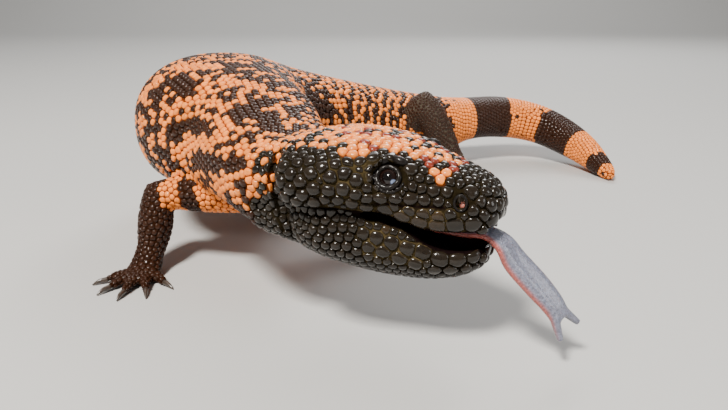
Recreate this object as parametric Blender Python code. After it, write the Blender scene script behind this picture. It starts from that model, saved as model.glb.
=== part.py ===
"""A gila monster as a still, life-size museum model, standing on a flat floor with its tongue out.

The body is a few sweeps along bent lines: head, jaw, neck, trunk, tail and legs. Each is divided into named
lengths with thin cuts. Sizes are in millimetres, in a floor plan seen from the viewer's side: X to the
viewer's right, Y away from the viewer, Z up. FLOOR_CENTRE then moves the plan's middle to the origin.
"""

import math
import random

import bmesh
import bpy
import numpy as np

MM = 0.001
GAP = 0.3
FLOOR_CENTRE = np.array([22.0, 305.45, 0.0])
UP = np.array([0.0, 0.0, 1.0])

# Head: where its back plane's middle is, which way it looks, and its lengths along its own axis
HEAD_ORIGIN = np.array([-18.0, 196.0, 46.0])
HEAD_YAW = math.radians(27.0)
HEAD_BACK = -3.0
JAW_TIP = 60.5

# The head's half width, crown height and lip height at stations from the nape to the snout's tip
HEAD_STATIONS = (
    (-4.0, 20.0, 13.5, -4.2),
    (3.0, 21.5, 15.0, -3.4),
    (9.0, 25.0, 16.0, -2.6),
    (17.0, 25.5, 16.3, -2.0),
    (25.0, 23.5, 16.0, -2.0),
    (34.0, 20.0, 14.7, -2.6),
    (44.0, 16.3, 11.8, -6.3),
    (53.0, 13.2, 9.0, -7.4),
    (59.0, 10.6, 6.4, -7.0),
    (62.2, 7.4, 3.6, -6.6),
    (63.6, 3.6, 0.6, -6.2),
)
# The jaw's half width, lower lip height and chin height at stations from the nape to its tip
JAW_STATIONS = (
    (-4.0, 17.5, -4.6, -18.0),
    (5.0, 19.5, -3.6, -19.5),
    (15.0, 22.3, -2.7, -22.0),
    (25.0, 20.8, -3.1, -24.0),
    (33.0, 18.0, -4.7, -25.0),
    (40.0, 15.6, -6.8, -25.0),
    (46.0, 13.6, -11.0, -24.2),
    (53.0, 11.2, -12.3, -22.2),
    (58.0, 8.2, -11.8, -19.4),
    (60.5, 4.6, -11.4, -16.6),
)
PALATE_ARCH = 2.4
EYE_PLACE = (35.3, 13.5, 7.3)
EYE_RADIUS = 3.5
LID_THICKNESS = 1.2
LID_OPENING = (3.0, 3.2, 2.3)
EYE_CLEARANCE = 7.0
NOSTRIL_PLACE = (55.2, 11.6, 2.4)
NOSTRIL_RADII = (1.5, 2.2, 2.0)
EAR_PLACE = (7.0, 23.5, -1.5)

# Axis of neck, trunk and tail from nape to tail tip: x, y, z, half width, height above and below the axis
NAPE_SECTION = (21.0, 13.8, 17.8)
NAPE_STRAIGHTNESS = 40.0
NAPE_TURN = math.radians(17.5)
NAPE_REACH = 15.0
BODY_STATIONS = (
    (-32.0, 214.5, 46.8, 22.0, 17.0, 18.0),
    (-43.0, 241.0, 47.0, 27.0, 25.0, 23.0),
    (-60.0, 272.0, 48.0, 36.5, 29.0, 27.5),
    (-63.5, 308.0, 44.5, 39.0, 30.5, 30.5),
    (-43.0, 343.0, 37.0, 36.0, 28.0, 32.0),
    (-8.0, 371.0, 29.5, 29.0, 24.5, 30.1),
    (34.0, 393.0, 26.0, 19.5, 18.0, 26.9),
    (62.0, 404.0, 27.0, 15.5, 13.5, 14.0),
    (90.0, 412.0, 27.0, 14.0, 12.8, 13.0),
    (115.0, 408.0, 22.5, 12.4, 11.6, 12.0),
    (134.0, 388.0, 13.5, 9.6, 9.0, 9.6),
    (142.5, 362.0, 5.0, 5.0, 4.6, 5.4),
    (143.0, 352.0, 3.0, 2.0, 2.0, 2.4),
)
BODY_SQUARENESS = 2.3

# Names of the body's lengths and the share of the whole axis where each begins
BODY_LENGTHS = (
    ("neck", 0.0),
    ("torso_front", 0.105),
    ("torso_middle", 0.245),
    ("torso_rear", 0.395),
    ("pelvis", 0.535),
    ("tail_1_base", 0.665),
    ("tail_2_black", 0.709),
    ("tail_3_salmon", 0.776),
    ("tail_4_black", 0.838),
    ("tail_5_salmon", 0.903),
    ("tail_6_tip", 0.953),
)
BODY_SIDES = 26
TAIL_SIDES = 14
BODY_PITCH = 8.9
TAIL_PITCH = 7.5

# Bead scutes: how far they rise on each kind of node, and the share of a face left as the seam round one
BODY_RISE = 1.0
TAIL_RISE = 0.7
HEAD_RISE = 0.7
SEAM_SHARE = 0.25
BELLY_SLOPE = -0.38
LEG_CLEARANCE = 17.0

# Legs: joints from root to foot, the foot's heading in degrees in plan, and the radius at root, elbow, wrist
LEGS = {
    "foreleg_right": dict(
        joints=((-40.0, 230.0, 31.0), (-80.0, 236.0, 27.0), (-82.0, 227.0, 9.0)),
        heading=-100.0,
        radii=(8.0, 6.4, 5.2),
    ),
    "foreleg_left": dict(
        joints=((-36.0, 246.0, 34.0), (-2.0, 262.0, 27.0), (7.0, 252.0, 9.0)),
        heading=-50.0,
        radii=(8.0, 6.4, 5.2),
    ),
    "hindleg_left": dict(
        joints=((25.0, 378.0, 20.0), (35.0, 364.0, 41.0), (52.0, 367.0, 12.0)),
        heading=-43.0,
        radii=(10.0, 9.4, 6.3),
    ),
    "hindleg_right": dict(
        joints=((30.0, 398.0, 20.0), (20.0, 424.0, 20.0), (4.0, 432.0, 11.0)),
        heading=150.0,
        radii=(10.0, 9.4, 6.3),
    ),
}
LEG_SIDES = 10
ELBOW_DEPTH = 1.03
LIMB_SHARES = (0.0, 0.3, 0.6, 0.8, 0.87, 0.94, 1.0)
BEND_START = 0.78
FOOT_LENGTH = 11.0
FOOT_HALF_WIDTH = 6.2
FOOT_HEIGHT = 3.4
TOE_ANGLES = (-52.0, -24.0, 2.0, 28.0, 58.0)
TOE_LENGTHS = (7.5, 9.5, 10.5, 9.5, 7.0)
TOE_RADIUS = 1.9
CLAW_LENGTH = 5.0
CLAW_RADIUS = 1.0

# Tongue: its centre line, half width, half thickness, and how far it rolls to one side, in degrees
TONGUE_STATIONS = (
    (44.0, 0.0, -10.1, 3.2, 1.2, 0.0),
    (54.0, 0.0, -9.9, 3.5, 1.3, 0.0),
    (60.0, 0.1, -9.3, 3.8, 1.5, 2.0),
    (64.8, 0.4, -12.0, 4.3, 1.8, 12.0),
    (68.2, 0.8, -16.7, 4.7, 1.9, 22.0),
    (74.6, 1.4, -23.0, 4.6, 1.9, 27.0),
    (79.2, 1.8, -27.8, 4.1, 1.7, 28.0),
    (82.2, 2.2, -32.2, 3.6, 1.5, 28.0),
)
FORK_LENGTH = 5.0
FORK_SPREAD = 2.0

COLOURS = {
    "salmon": (0.86, 0.36, 0.16),
    "black": (0.035, 0.028, 0.026),
    "eye": (0.012, 0.010, 0.012),
    "claw": (0.10, 0.075, 0.055),
    "tongue": (0.22, 0.21, 0.27),
}


def clear_scene():
    """Removes every object that is there at the start."""
    for thing in list(bpy.data.objects):
        bpy.data.objects.remove(thing, do_unlink=True)


def new_collection(name):
    """A collection of that name, linked to the scene."""
    made = bpy.data.collections.new(name)
    bpy.context.scene.collection.children.link(made)
    return made


def material(name, roughness=0.4):
    """The plain material of one of the named colours, made once."""
    made = bpy.data.materials.get(name) or bpy.data.materials.new(name)
    made.use_nodes = True
    shader = made.node_tree.nodes["Principled BSDF"]
    shader.inputs["Base Color"].default_value = (*COLOURS[name], 1.0)
    shader.inputs["Roughness"].default_value = roughness
    shader.inputs["Metallic"].default_value = 0.0
    return made


def unit(vectors):
    """Each vector divided by its length."""
    vectors = np.asarray(vectors, float)
    return vectors / np.linalg.norm(vectors, axis=-1, keepdims=True)


def smooth_line(stations, lead=None, samples=24):
    """A Catmull-Rom curve through the rows of stations, and its slopes. It starts away from lead."""
    rows = np.array(stations, float)
    lead = 2 * rows[0] - rows[1] if lead is None else lead
    ends = np.vstack([lead, rows, 2 * rows[-1] - rows[-2]])
    points, slopes = [], []
    for before, start, end, after in zip(ends[:-3], ends[1:-2], ends[2:-1], ends[3:]):
        leave, arrive = (end - before) / 2, (after - start) / 2
        s = np.linspace(0.0, 1.0, samples, endpoint=False)[:, None]
        points.append(start * (2 * s**3 - 3 * s**2 + 1) + leave * (s**3 - 2 * s**2 + s)
                      + end * (3 * s**2 - 2 * s**3) + arrive * (s**3 - s**2))
        slopes.append((start - end) * (6 * s**2 - 6 * s) + leave * (3 * s**2 - 4 * s + 1)
                      + arrive * (3 * s**2 - 2 * s))
    return np.vstack([*points, rows[-1:]]), np.vstack([*slopes, arrive[None, :]])


def columns_at(places, known, table):
    """The values of each column of a table at these places, between the places that are known."""
    return np.stack([np.interp(places, known, column) for column in table.T], -1)


class Sweep:
    """A bent line with a section that changes along it. The section's columns follow x, y and z."""

    def __init__(self, stations, hinge=None, lead=None):
        rows, slopes = smooth_line(stations, lead)
        self.line = rows[:, :3]
        self.section = rows[:, 3:]
        self.slope = unit(slopes[:, :3])
        steps = np.linalg.norm(np.diff(self.line, axis=0), axis=1)
        self.run = np.concatenate([[0.0], np.cumsum(steps)])
        self.length = self.run[-1]
        self.hinge = hinge

    def at(self, runs):
        """Centre, side, top and forward directions, and section at these distances along the line."""
        runs = np.asarray(runs, float)
        tangent = unit(columns_at(runs, self.run, self.slope))
        hint = np.cross(UP, tangent) if self.hinge is None else np.broadcast_to(self.hinge, tangent.shape)
        side = unit(hint - (hint * tangent).sum(-1, keepdims=True) * tangent)
        centre = columns_at(runs, self.run, self.line)
        section = columns_at(runs, self.run, self.section)
        return centre, side, np.cross(tangent, side), tangent, section


def squared(values, squareness):
    """Sines or cosines bent towards one, which turns a circle into a rounded box."""
    return np.sign(values) * np.abs(values) ** (2.0 / squareness)


def superellipse(count, squareness):
    """Cosine-like and sine-like shares of a rounded box, starting next to the underside's middle."""
    angle = -math.pi / 2 + 2 * math.pi * (np.arange(count) + 0.5) / count
    return squared(np.cos(angle), squareness), squared(np.sin(angle), squareness)


def body_rings(sweep, runs, sides, grow=0.0):
    """Rings of points round the body's axis, fuller above or below as its stations say."""
    centre, side, up, _, section = sweep.at(runs)
    across, rise = superellipse(sides, BODY_SQUARENESS)
    wide = section[:, :1] + grow
    tall = np.where(rise[None, :] > 0, section[:, 1:2], section[:, 2:3]) + grow
    return (
        centre[:, None, :]
        + (wide * across)[:, :, None] * side[:, None, :]
        + (tall * rise)[:, :, None] * up[:, None, :]
    )


def tube_rings(sweep, runs, sides, squareness=2.0):
    """Rings round a limb, toe or tongue, whose section holds one radius or a half width and half height."""
    centre, side, up, _, section = sweep.at(runs)
    across, rise = superellipse(sides, squareness)
    return (
        centre[:, None, :]
        + (section[:, :1] * across)[:, :, None] * side[:, None, :]
        + (section[:, -1:] * rise)[:, :, None] * up[:, None, :]
    )


def loft(name, rings, collection, colour, smooth=True):
    """A closed solid through rings of equal count, in millimetres, with a fan over each end."""
    count, sides = rings.shape[:2]
    points = [tuple(p) for p in ((rings - FLOOR_CENTRE) * MM).reshape(-1, 3)]
    for ring in (rings[0], rings[-1]):
        points.append(tuple((ring.mean(0) - FLOOR_CENTRE) * MM))
    faces = []
    for i in range(count - 1):
        for j in range(sides):
            k = (j + 1) % sides
            faces.append((i * sides + j, i * sides + k, (i + 1) * sides + k, (i + 1) * sides + j))
    first, last, end = count * sides, count * sides + 1, (count - 1) * sides
    faces += [(first, (j + 1) % sides, j) for j in range(sides)]
    faces += [(last, end + j, end + (j + 1) % sides) for j in range(sides)]
    mesh = bpy.data.meshes.new(name)
    mesh.from_pydata(points, [], faces)
    mesh.materials.append(material(colour))
    mesh.update()
    if smooth:
        mesh.shade_smooth()
        mesh.set_sharp_from_angle(angle=math.radians(40))
    made = bpy.data.objects.new(name, mesh)
    collection.objects.link(made)
    return made


def boolean(target, operation, other, solver="EXACT"):
    """Adds a Boolean to target, with an object or a collection as the other side."""
    modifier = target.modifiers.new(operation.lower(), "BOOLEAN")
    modifier.operation = operation
    modifier.solver = solver
    if isinstance(other, bpy.types.Collection):
        modifier.operand_type = "COLLECTION"
        modifier.collection = other
    else:
        modifier.object = other
    return modifier


def keep_largest(made):
    """Drops every closed surface but the largest, which clears scraps that a cut leaves."""
    shape = bmesh.new()
    shape.from_mesh(made.data)
    left = set(shape.faces)
    islands = []
    while left:
        island, front = set(), [left.pop()]
        while front:
            face = front.pop()
            island.add(face)
            near = {other for edge in face.edges for other in edge.link_faces} & left
            left -= near
            front.extend(near)
        islands.append(island)
    largest = max(islands, key=lambda island: sum(face.calc_area() for face in island))
    scraps = [face for island in islands if island is not largest for face in island]
    bmesh.ops.delete(shape, geom=scraps, context="FACES")
    shape.to_mesh(made.data)
    shape.free()


def raise_beads(made, wanted, rise):
    """Raises a bead scute on each wanted four-sided face, some a little higher than their neighbours."""
    shape = bmesh.new()
    shape.from_mesh(made.data)
    chosen = [face for face in shape.faces if len(face.verts) == 4 and wanted(face)]
    random.shuffle(chosen)
    for step, height in enumerate((0.85, 1.0, 1.15)):
        faces = chosen[step::3]
        width = sum(math.sqrt(face.calc_area()) for face in faces) / max(1, len(faces))
        bmesh.ops.inset_individual(
            shape,
            faces=faces,
            thickness=SEAM_SHARE * width,
            depth=rise * height * MM,
            use_even_offset=True,
        )
    shape.to_mesh(made.data)
    shape.free()


def near_line(point, start, end):
    """Distance in millimetres from a point of the model to the straight line between two joints."""
    spot = np.array(point) / MM + FLOOR_CENTRE
    start, end = np.array(start), np.array(end)
    share = np.clip(np.dot(spot - start, end - start) / np.dot(end - start, end - start), 0.0, 1.0)
    return np.linalg.norm(spot - start - share * (end - start))


def clear_of_legs(face):
    """True on the back and sides, away from where a leg leaves the trunk."""
    if face.normal.z < BELLY_SLOPE:
        return False
    centre = face.calc_center_median()
    return all(near_line(centre, *values["joints"][:2]) > LEG_CLEARANCE for values in LEGS.values())


def helper(made):
    """Marks a shape that only cuts others: it isn't rendered and shows as wires."""
    made.hide_render = True
    made.display_type = "WIRE"
    return made


def apply_modifiers(made):
    """Replaces an object's mesh by what its modifiers make of it."""
    bpy.context.view_layer.update()
    graph = bpy.context.evaluated_depsgraph_get()
    mesh = bpy.data.meshes.new_from_object(made.evaluated_get(graph))
    made.modifiers.clear()
    made.data = mesh
    return made


def head_frame():
    """Directions forward and leftward in the head's own axes."""
    forward = np.array([math.cos(HEAD_YAW), -math.sin(HEAD_YAW), 0.0])
    left = np.cross(UP, forward)
    return forward, left


def in_head(along, leftward, upward):
    """Points given in the head's own axes, as points of the floor plan."""
    forward, left = head_frame()
    along, leftward, upward = np.broadcast_arrays(along, leftward, upward)
    return (
        HEAD_ORIGIN
        + along[..., None] * forward
        + leftward[..., None] * left
        + upward[..., None] * UP
    )


def body_sweep():
    """The axis leaves the head square to the nape, which is turned by half of the neck's bend."""
    nape = in_head(np.array(HEAD_BACK), 0.0, 0.0)
    heading = -HEAD_YAW - NAPE_TURN
    lead = np.array(BODY_STATIONS[0][:3])
    lead += NAPE_STRAIGHTNESS * np.array([math.cos(heading), math.sin(heading), 0.0])
    return Sweep([(*nape, *NAPE_SECTION), *BODY_STATIONS], lead=np.array([*lead, *NAPE_SECTION]))


def main_body(collection):
    """Neck, trunk, pelvis and the tail's bands, each closed by flat ends a gap apart."""
    sweep = body_sweep()
    ends = [share * sweep.length for _, share in BODY_LENGTHS[1:]] + [sweep.length]
    begin = GAP
    for (name, _), end in zip(BODY_LENGTHS, ends):
        tail = name.startswith("tail")
        pitch, sides = (TAIL_PITCH, TAIL_SIDES) if tail else (BODY_PITCH, BODY_SIDES)
        stop = end - GAP / 2 if end < sweep.length else end
        count = max(5 if name.endswith("tip") else 3, round((stop - begin) / pitch) + 1)
        rings = body_rings(sweep, np.linspace(begin, stop, count), sides)
        if begin == GAP:
            rings[0] = body_rings(sweep, [0.0], sides)[0] + GAP * sweep.slope[0]
        colour = "black" if name in ("tail_2_black", "tail_4_black", "tail_6_tip") else "salmon"
        made = loft(name, rings, collection, colour, smooth=False)
        raise_beads(made, clear_of_legs, TAIL_RISE if tail else BODY_RISE)
        begin = end + GAP / 2
    return sweep


def stations_at(stations, places):
    """Smooth values of each column of stations at these places along the first column."""
    rows, _ = smooth_line(stations)
    return [np.interp(places, rows[:, 0], rows[:, k]) for k in range(1, rows.shape[1])]


def nape_turned(places, leftward):
    """Stations of the head's points: square to its axis, and turned with the nape towards the back."""
    share = np.clip((HEAD_BACK + NAPE_REACH - places) / NAPE_REACH, 0.0, 1.0)
    return places[:, None] + math.tan(NAPE_TURN) * share[:, None] * leftward


def head_rings(places, outer=15, inner=5):
    """Sections of the upper head: over the crown from lip to lip, and back along the arched palate."""
    wide, crown, lip = stations_at(HEAD_STATIONS, places)
    angle = math.pi * np.arange(outer) / (outer - 1)
    brow = lip + 0.34 * (crown - lip)
    across = squared(np.cos(angle), 2.5)
    rise = squared(np.sin(angle), 2.5)
    leftward = wide[:, None] * across
    upward = brow[:, None] + (crown - brow)[:, None] * rise
    lips = 0.88 * wide[:, None]
    share = np.linspace(-1.0, 1.0, inner + 2)
    arch = PALATE_ARCH * np.minimum(1.0, (crown - lip) / 10.0)
    roof = lip[:, None] + arch[:, None] * (1 - share**2)
    leftward = np.hstack([leftward, lips * share])
    upward = np.hstack([upward, roof])
    return in_head(nape_turned(places, leftward), leftward, upward)


def jaw_rings(places, outer=13, inner=5):
    """Sections of the jaw: under the chin from lip to lip, and back along the mouth's hollow floor."""
    wide, lip, chin = stations_at(JAW_STATIONS, places)
    angle = math.pi * np.arange(outer) / (outer - 1)
    belly = lip - 0.34 * (lip - chin)
    leftward = -wide[:, None] * np.cos(angle)
    upward = belly[:, None] - (belly - chin)[:, None] * squared(np.sin(angle), 2.2)
    share = np.linspace(1.0, -1.0, inner + 2)
    hollow = PALATE_ARCH * np.minimum(1.0, (lip - chin) / 10.0)
    floor = lip[:, None] - hollow[:, None] * (1 - share**2)
    leftward = np.hstack([leftward, 0.93 * wide[:, None] * share])
    upward = np.hstack([upward, floor])
    return in_head(nape_turned(places, leftward), leftward, upward)


def ball(name, place, radii, collection, segments=12, rings=8, turn=-HEAD_YAW, colour="eye"):
    """An ellipsoid with its radii along the head's own axes."""
    mesh = bpy.data.meshes.new(name)
    shape = bmesh.new()
    bmesh.ops.create_uvsphere(shape, u_segments=segments, v_segments=rings, radius=1.0)
    shape.to_mesh(mesh)
    shape.free()
    made = bpy.data.objects.new(name, mesh)
    collection.objects.link(made)
    made.location = (place - FLOOR_CENTRE) * MM
    made.rotation_euler = (0.0, 0.0, turn)
    made.scale = np.array(radii) * MM
    mesh.materials.append(material(colour, 0.1))
    return made


def plain_of_face(face):
    """True for plates of the head that lie clear of eyes, nostrils and ears and outside the mouth."""
    spot = np.array(face.calc_center_median()) / MM + FLOOR_CENTRE
    for place, clearance in ((EYE_PLACE, EYE_CLEARANCE), (NOSTRIL_PLACE, 4.0), (EAR_PLACE, 5.0)):
        for sign in (1.0, -1.0):
            centre = in_head(np.array(place[0]), sign * place[1], place[2])
            if np.linalg.norm(spot - centre) < clearance:
                return False
    along = float(np.dot(spot - HEAD_ORIGIN, head_frame()[0]))
    half_width = float(stations_at(HEAD_STATIONS, along)[0])
    inside_mouth = np.linalg.norm(spot[:2] - in_head(along, 0.0, 0.0)[:2]) < 0.80 * half_width
    return not (inside_mouth and abs(face.normal.z) > 0.8 and spot[2] < HEAD_ORIGIN[2])


def outside_of_jaw(face):
    """True for plates on the jaw's sides and chin, not in the mouth."""
    return face.normal.z < 0.3


def unite(target, extras, solver="EXACT"):
    """Joins the solids of a collection to target and removes them."""
    boolean(target, "UNION", extras, solver)
    apply_modifiers(target)
    for extra in list(extras.objects):
        bpy.data.objects.remove(extra, do_unlink=True)
    bpy.data.collections.remove(extras)


def head(collection, cutters):
    """Upper head with lids, eye sockets, nostrils and ears, the jaw, and the eyes in their sockets."""
    places = np.array([HEAD_BACK, 3, 9, 15, 21, 27, 32, 37, 42, 47, 52, 56.5, 60, 62.2, 63.6])
    skull = loft("head", head_rings(places), collection, "black", smooth=False)
    raise_beads(skull, plain_of_face, HEAD_RISE)
    jaw_places = np.array([HEAD_BACK, 4, 11, 18, 25, 31, 37, 42, 47, 52, 56, 59, JAW_TIP])
    jaw = loft("jaw", jaw_rings(jaw_places), collection, "black", smooth=False)
    raise_beads(jaw, outside_of_jaw, HEAD_RISE)
    lids = new_collection("lids")
    for side, sign in (("left", 1.0), ("right", -1.0)):
        along, out, up = EYE_PLACE
        place = in_head(np.array(along), sign * out, up)
        ball(f"lid_{side}", place, (EYE_RADIUS + LID_THICKNESS,) * 3, lids, 14, 8, colour="black")
    unite(skull, lids, "MANIFOLD")
    for side, sign in (("left", 1.0), ("right", -1.0)):
        along, out, up = EYE_PLACE
        place = in_head(np.array(along), sign * out, up)
        ball(f"eye_{side}", place, (EYE_RADIUS,) * 3, collection)
        cuts = [ball(f"socket_{side}", place, (EYE_RADIUS + 1.15 * GAP,) * 3, cutters)]
        opening = in_head(np.array(along), sign * (out + EYE_RADIUS + 1.0), up)
        cuts.append(ball(f"opening_{side}", opening, LID_OPENING, cutters))
        along, out, up = NOSTRIL_PLACE
        pit = in_head(np.array(along), sign * out, up)
        cuts.append(ball(f"nostril_{side}", pit, NOSTRIL_RADII, cutters, 10, 6))
        along, out, up = EAR_PLACE
        pit = in_head(np.array(along), sign * out, up)
        cuts.append(ball(f"ear_{side}", pit, (1.2, 2.0, 2.6), cutters, 10, 6))
        for cut in cuts:
            boolean(skull, "DIFFERENCE", helper(cut), "MANIFOLD")
    apply_modifiers(skull)
    keep_largest(skull)


def rolled_frame(sweep, runs):
    """Centre, side, top, forward and section of the tongue, its side and top turned by its roll."""
    centre, side, up, tangent, section = sweep.at(runs)
    roll = np.radians(section[:, 2:3])
    wide = np.cos(roll) * side + np.sin(roll) * up
    tall = np.cos(roll) * up - np.sin(roll) * side
    return centre, wide, tall, tangent, section


def tongue(collection):
    """A thick strap out of the mouth, rolled a little to one side and forked at its tip."""
    rows = np.array(TONGUE_STATIONS)
    line = in_head(rows[:, 0], rows[:, 1], rows[:, 2])
    _, left = head_frame()
    sweep = Sweep(np.hstack([line, rows[:, 3:]]), hinge=-left)
    centre, side, up, _, section = rolled_frame(sweep, np.linspace(0, sweep.length, 13))
    across, rise = superellipse(10, 2.4)
    strap = (
        centre[:, None, :]
        + (section[:, :1] * across)[:, :, None] * side[:, None, :]
        + (section[:, 1:2] * rise)[:, :, None] * up[:, None, :]
    )
    made = loft("tongue", strap, collection, "tongue")
    prongs = new_collection("tongue prongs")
    centre, side, _, tangent, _ = (values[0] for values in rolled_frame(sweep, np.array([sweep.length])))
    for name, sign in (("left", -1.0), ("right", 1.0)):
        root = centre + sign * 1.9 * side - 2.0 * tangent
        way = (FORK_LENGTH + 2.0) * unit(tangent + sign * side * FORK_SPREAD / FORK_LENGTH)
        stations = [(*(root + way * k), 1.9 * (1 - 0.45 * k), 1.5 * (1 - 0.4 * k)) for k in (0, 0.5, 1.0)]
        prong = Sweep(stations, hinge=-left)
        rings = tube_rings(prong, np.linspace(0, prong.length, 4), 8)
        loft(f"prong_{name}", rings, prongs, "tongue")
    unite(made, prongs)


def limb_rings(start, end, radii, hinge, cuts=(None, None), grow=0.0):
    """Rings along a straight length with a swelling muscle. Near its cutting plane the outside turns round."""
    tangent = unit(end - start)
    up = np.cross(tangent, hinge)
    across, tall = superellipse(LEG_SIDES, 2.0)
    shares = LIMB_SHARES if cuts[0] is None else [1 - share for share in reversed(LIMB_SHARES)]
    rings = []
    for share in shares:
        radius = radii[0] + (radii[1] - radii[0]) * share + radii[2] * math.sin(math.pi * share) + grow
        inside, outside = up, up
        for cut, near in zip(cuts, (1 - share, share)):
            if cut is not None:
                turned = max(0.0, (near - BEND_START) / (1 - BEND_START))
                depth = 1 + turned * (ELBOW_DEPTH - 1)
                inside = (1 - near**2) * up + near**2 * ELBOW_DEPTH * cut
                outside = depth * unit((1 - turned) * up + turned * cut)
        rise = np.where((tall > 0)[:, None], outside, inside)
        centre = start + (end - start) * share
        rings.append(centre + radius * (across[:, None] * hinge + tall[:, None] * rise))
    return np.stack(rings)


def leg(name, joints, heading, radii, collection, trunk, cutters):
    """Upper leg, lower leg and foot of one leg, its root cut to lie on the trunk."""
    root, elbow, wrist = (np.array(j) for j in joints)
    upper_way, lower_way = unit(elbow - root), unit(wrist - elbow)
    hinge = unit(np.cross(upper_way, lower_way))
    across_cut = unit(upper_way + lower_way)
    in_cut = np.cross(across_cut, hinge)
    upper_end = elbow - across_cut * GAP / 2
    upper_rings = limb_rings(root, upper_end, (radii[0], radii[1], 0.4), hinge, (None, in_cut))
    colour = "salmon" if name == "foreleg_right" else "black"
    upper = loft(f"{name}_upper", upper_rings, collection, colour)
    boolean(upper, "DIFFERENCE", trunk)
    lower_start = elbow + across_cut * GAP / 2
    lower_shape = (lower_start, wrist, (radii[1], radii[2], 0.9), hinge, (in_cut, None))
    loft(f"{name}_lower", limb_rings(*lower_shape), collection, "black")
    sleeve_shape = (lower_start, wrist + lower_way * GAP, *lower_shape[2:])
    sleeve = loft(f"{name}_sleeve", limb_rings(*sleeve_shape, 1.3 * GAP), cutters, "black")
    helper(sleeve)
    foot(name, wrist, lower_way, radii[2], math.radians(heading), collection, sleeve)


def foot(name, wrist, lower_way, radius, heading, collection, sleeve):
    """A foot that bends from the wrist to a flat palm with five toes, each ended by a claw of its own."""
    forward = np.array([math.cos(heading), math.sin(heading), 0.0])
    left = np.cross(UP, forward)
    start = wrist - lower_way
    ground = np.array([wrist[0], wrist[1], 0.0]) + forward * wrist[2] * 0.25
    palm = ground + forward * FOOT_LENGTH * 0.4
    front = ground + forward * FOOT_LENGTH
    stations = (
        (*start, radius, radius),
        (*((start + palm) / 2 + UP * FOOT_HEIGHT * 0.5), radius, radius * 0.9),
        (*(palm + UP * FOOT_HEIGHT), FOOT_HALF_WIDTH, FOOT_HEIGHT + 0.4),
        (*(front + UP * TOE_RADIUS), FOOT_HALF_WIDTH * 0.9, TOE_RADIUS + 0.3),
    )
    lead = np.array([*(start - lower_way * 6.0), radius, radius])
    line = Sweep(stations, hinge=left, lead=lead)
    rings = tube_rings(line, np.linspace(0.0, line.length, 7), LEG_SIDES, 2.2)
    made = loft(f"{name}_foot", rings, collection, "black")
    toes = new_collection(f"{name} toes")
    for number, (turn, length) in enumerate(zip(TOE_ANGLES, TOE_LENGTHS), 1):
        angle = heading + math.radians(turn)
        way = np.array([math.cos(angle), math.sin(angle), 0.0])
        base = palm + way * FOOT_LENGTH * 0.3 + UP * TOE_RADIUS * 0.85
        tip = palm + way * (FOOT_LENGTH * 0.6 + length) + UP * (TOE_RADIUS * 0.72)
        middle = (base + tip) / 2 + UP * 0.9
        toe = Sweep(((*base, TOE_RADIUS), (*middle, TOE_RADIUS), (*tip, TOE_RADIUS * 0.72)))
        toe_rings = tube_rings(toe, np.linspace(0, toe.length, 4), 6)
        loft(f"{name}_toe_{number}", toe_rings, toes, "black")
        claw(f"{name}_claw_{number}", tip, toe, collection)
    unite(made, toes, "MANIFOLD")
    boolean(made, "DIFFERENCE", sleeve, "MANIFOLD")
    apply_modifiers(made)
    keep_largest(made)


def claw(name, tip, line, collection):
    """A hooked, tapered claw that starts a gap beyond its toe's end."""
    _, _, _, tangent, _ = (values[0] for values in line.at(np.array([line.length])))
    start = tip + tangent * GAP
    level = unit(np.array([tangent[0], tangent[1], 0.0]))
    points = [
        (*start, CLAW_RADIUS),
        (*(start + tangent * CLAW_LENGTH * 0.5 + UP * 0.35), CLAW_RADIUS * 0.72),
        (*(start + level * CLAW_LENGTH - UP * (start[2] - 0.35)), CLAW_RADIUS * 0.22),
    ]
    hook = Sweep(points)
    loft(name, tube_rings(hook, np.linspace(0, hook.length, 4), 6), collection, "claw")


def level_ground(collection, cutters):
    """Cuts everything that dips under the floor, which leaves small flats at one level."""
    size = 0.5
    mesh = bpy.data.meshes.new("ground")
    shape = bmesh.new()
    bmesh.ops.create_cube(shape, size=size)
    shape.to_mesh(mesh)
    shape.free()
    ground = helper(bpy.data.objects.new("ground", mesh))
    ground.location = (0.0, 0.0, -size / 2)
    cutters.objects.link(ground)
    for made in collection.objects:
        lowest = min(v.co.z for v in made.data.vertices)
        if made.location.z == 0 and lowest < 0:
            boolean(made, "DIFFERENCE", ground, "MANIFOLD")


def main():
    """Builds the animal: body, head, tongue, then the legs, and last the level under the feet."""
    random.seed(11)
    clear_scene()
    animal = new_collection("gila_monster")
    cutters = new_collection("cutters")
    sweep = main_body(animal)
    head(animal, cutters)
    tongue(animal)
    clearance = body_rings(sweep, np.linspace(0, sweep.length * 0.75, 60), BODY_SIDES, GAP + 0.2)
    trunk = helper(loft("trunk_clearance", clearance, cutters, "salmon"))
    for name, values in LEGS.items():
        leg(name, collection=animal, trunk=trunk, cutters=cutters, **values)
    level_ground(animal, cutters)


main()
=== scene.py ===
# %% [markdown]
# # A gila monster with every scale in place
#
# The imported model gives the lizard's solids in metres. This lesson dresses them. One skin runs over the whole
# animal, and thousands of small domes lie on it, because a gila monster is known by its beads: each is a
# little plate of bone under horn, round and glossy. Eyes, lids, tongue and claws follow, then the finishes.

import math

import bpy
import numpy as np
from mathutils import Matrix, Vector
from mathutils.bvhtree import BVHTree
from mathutils.kdtree import KDTree


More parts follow.
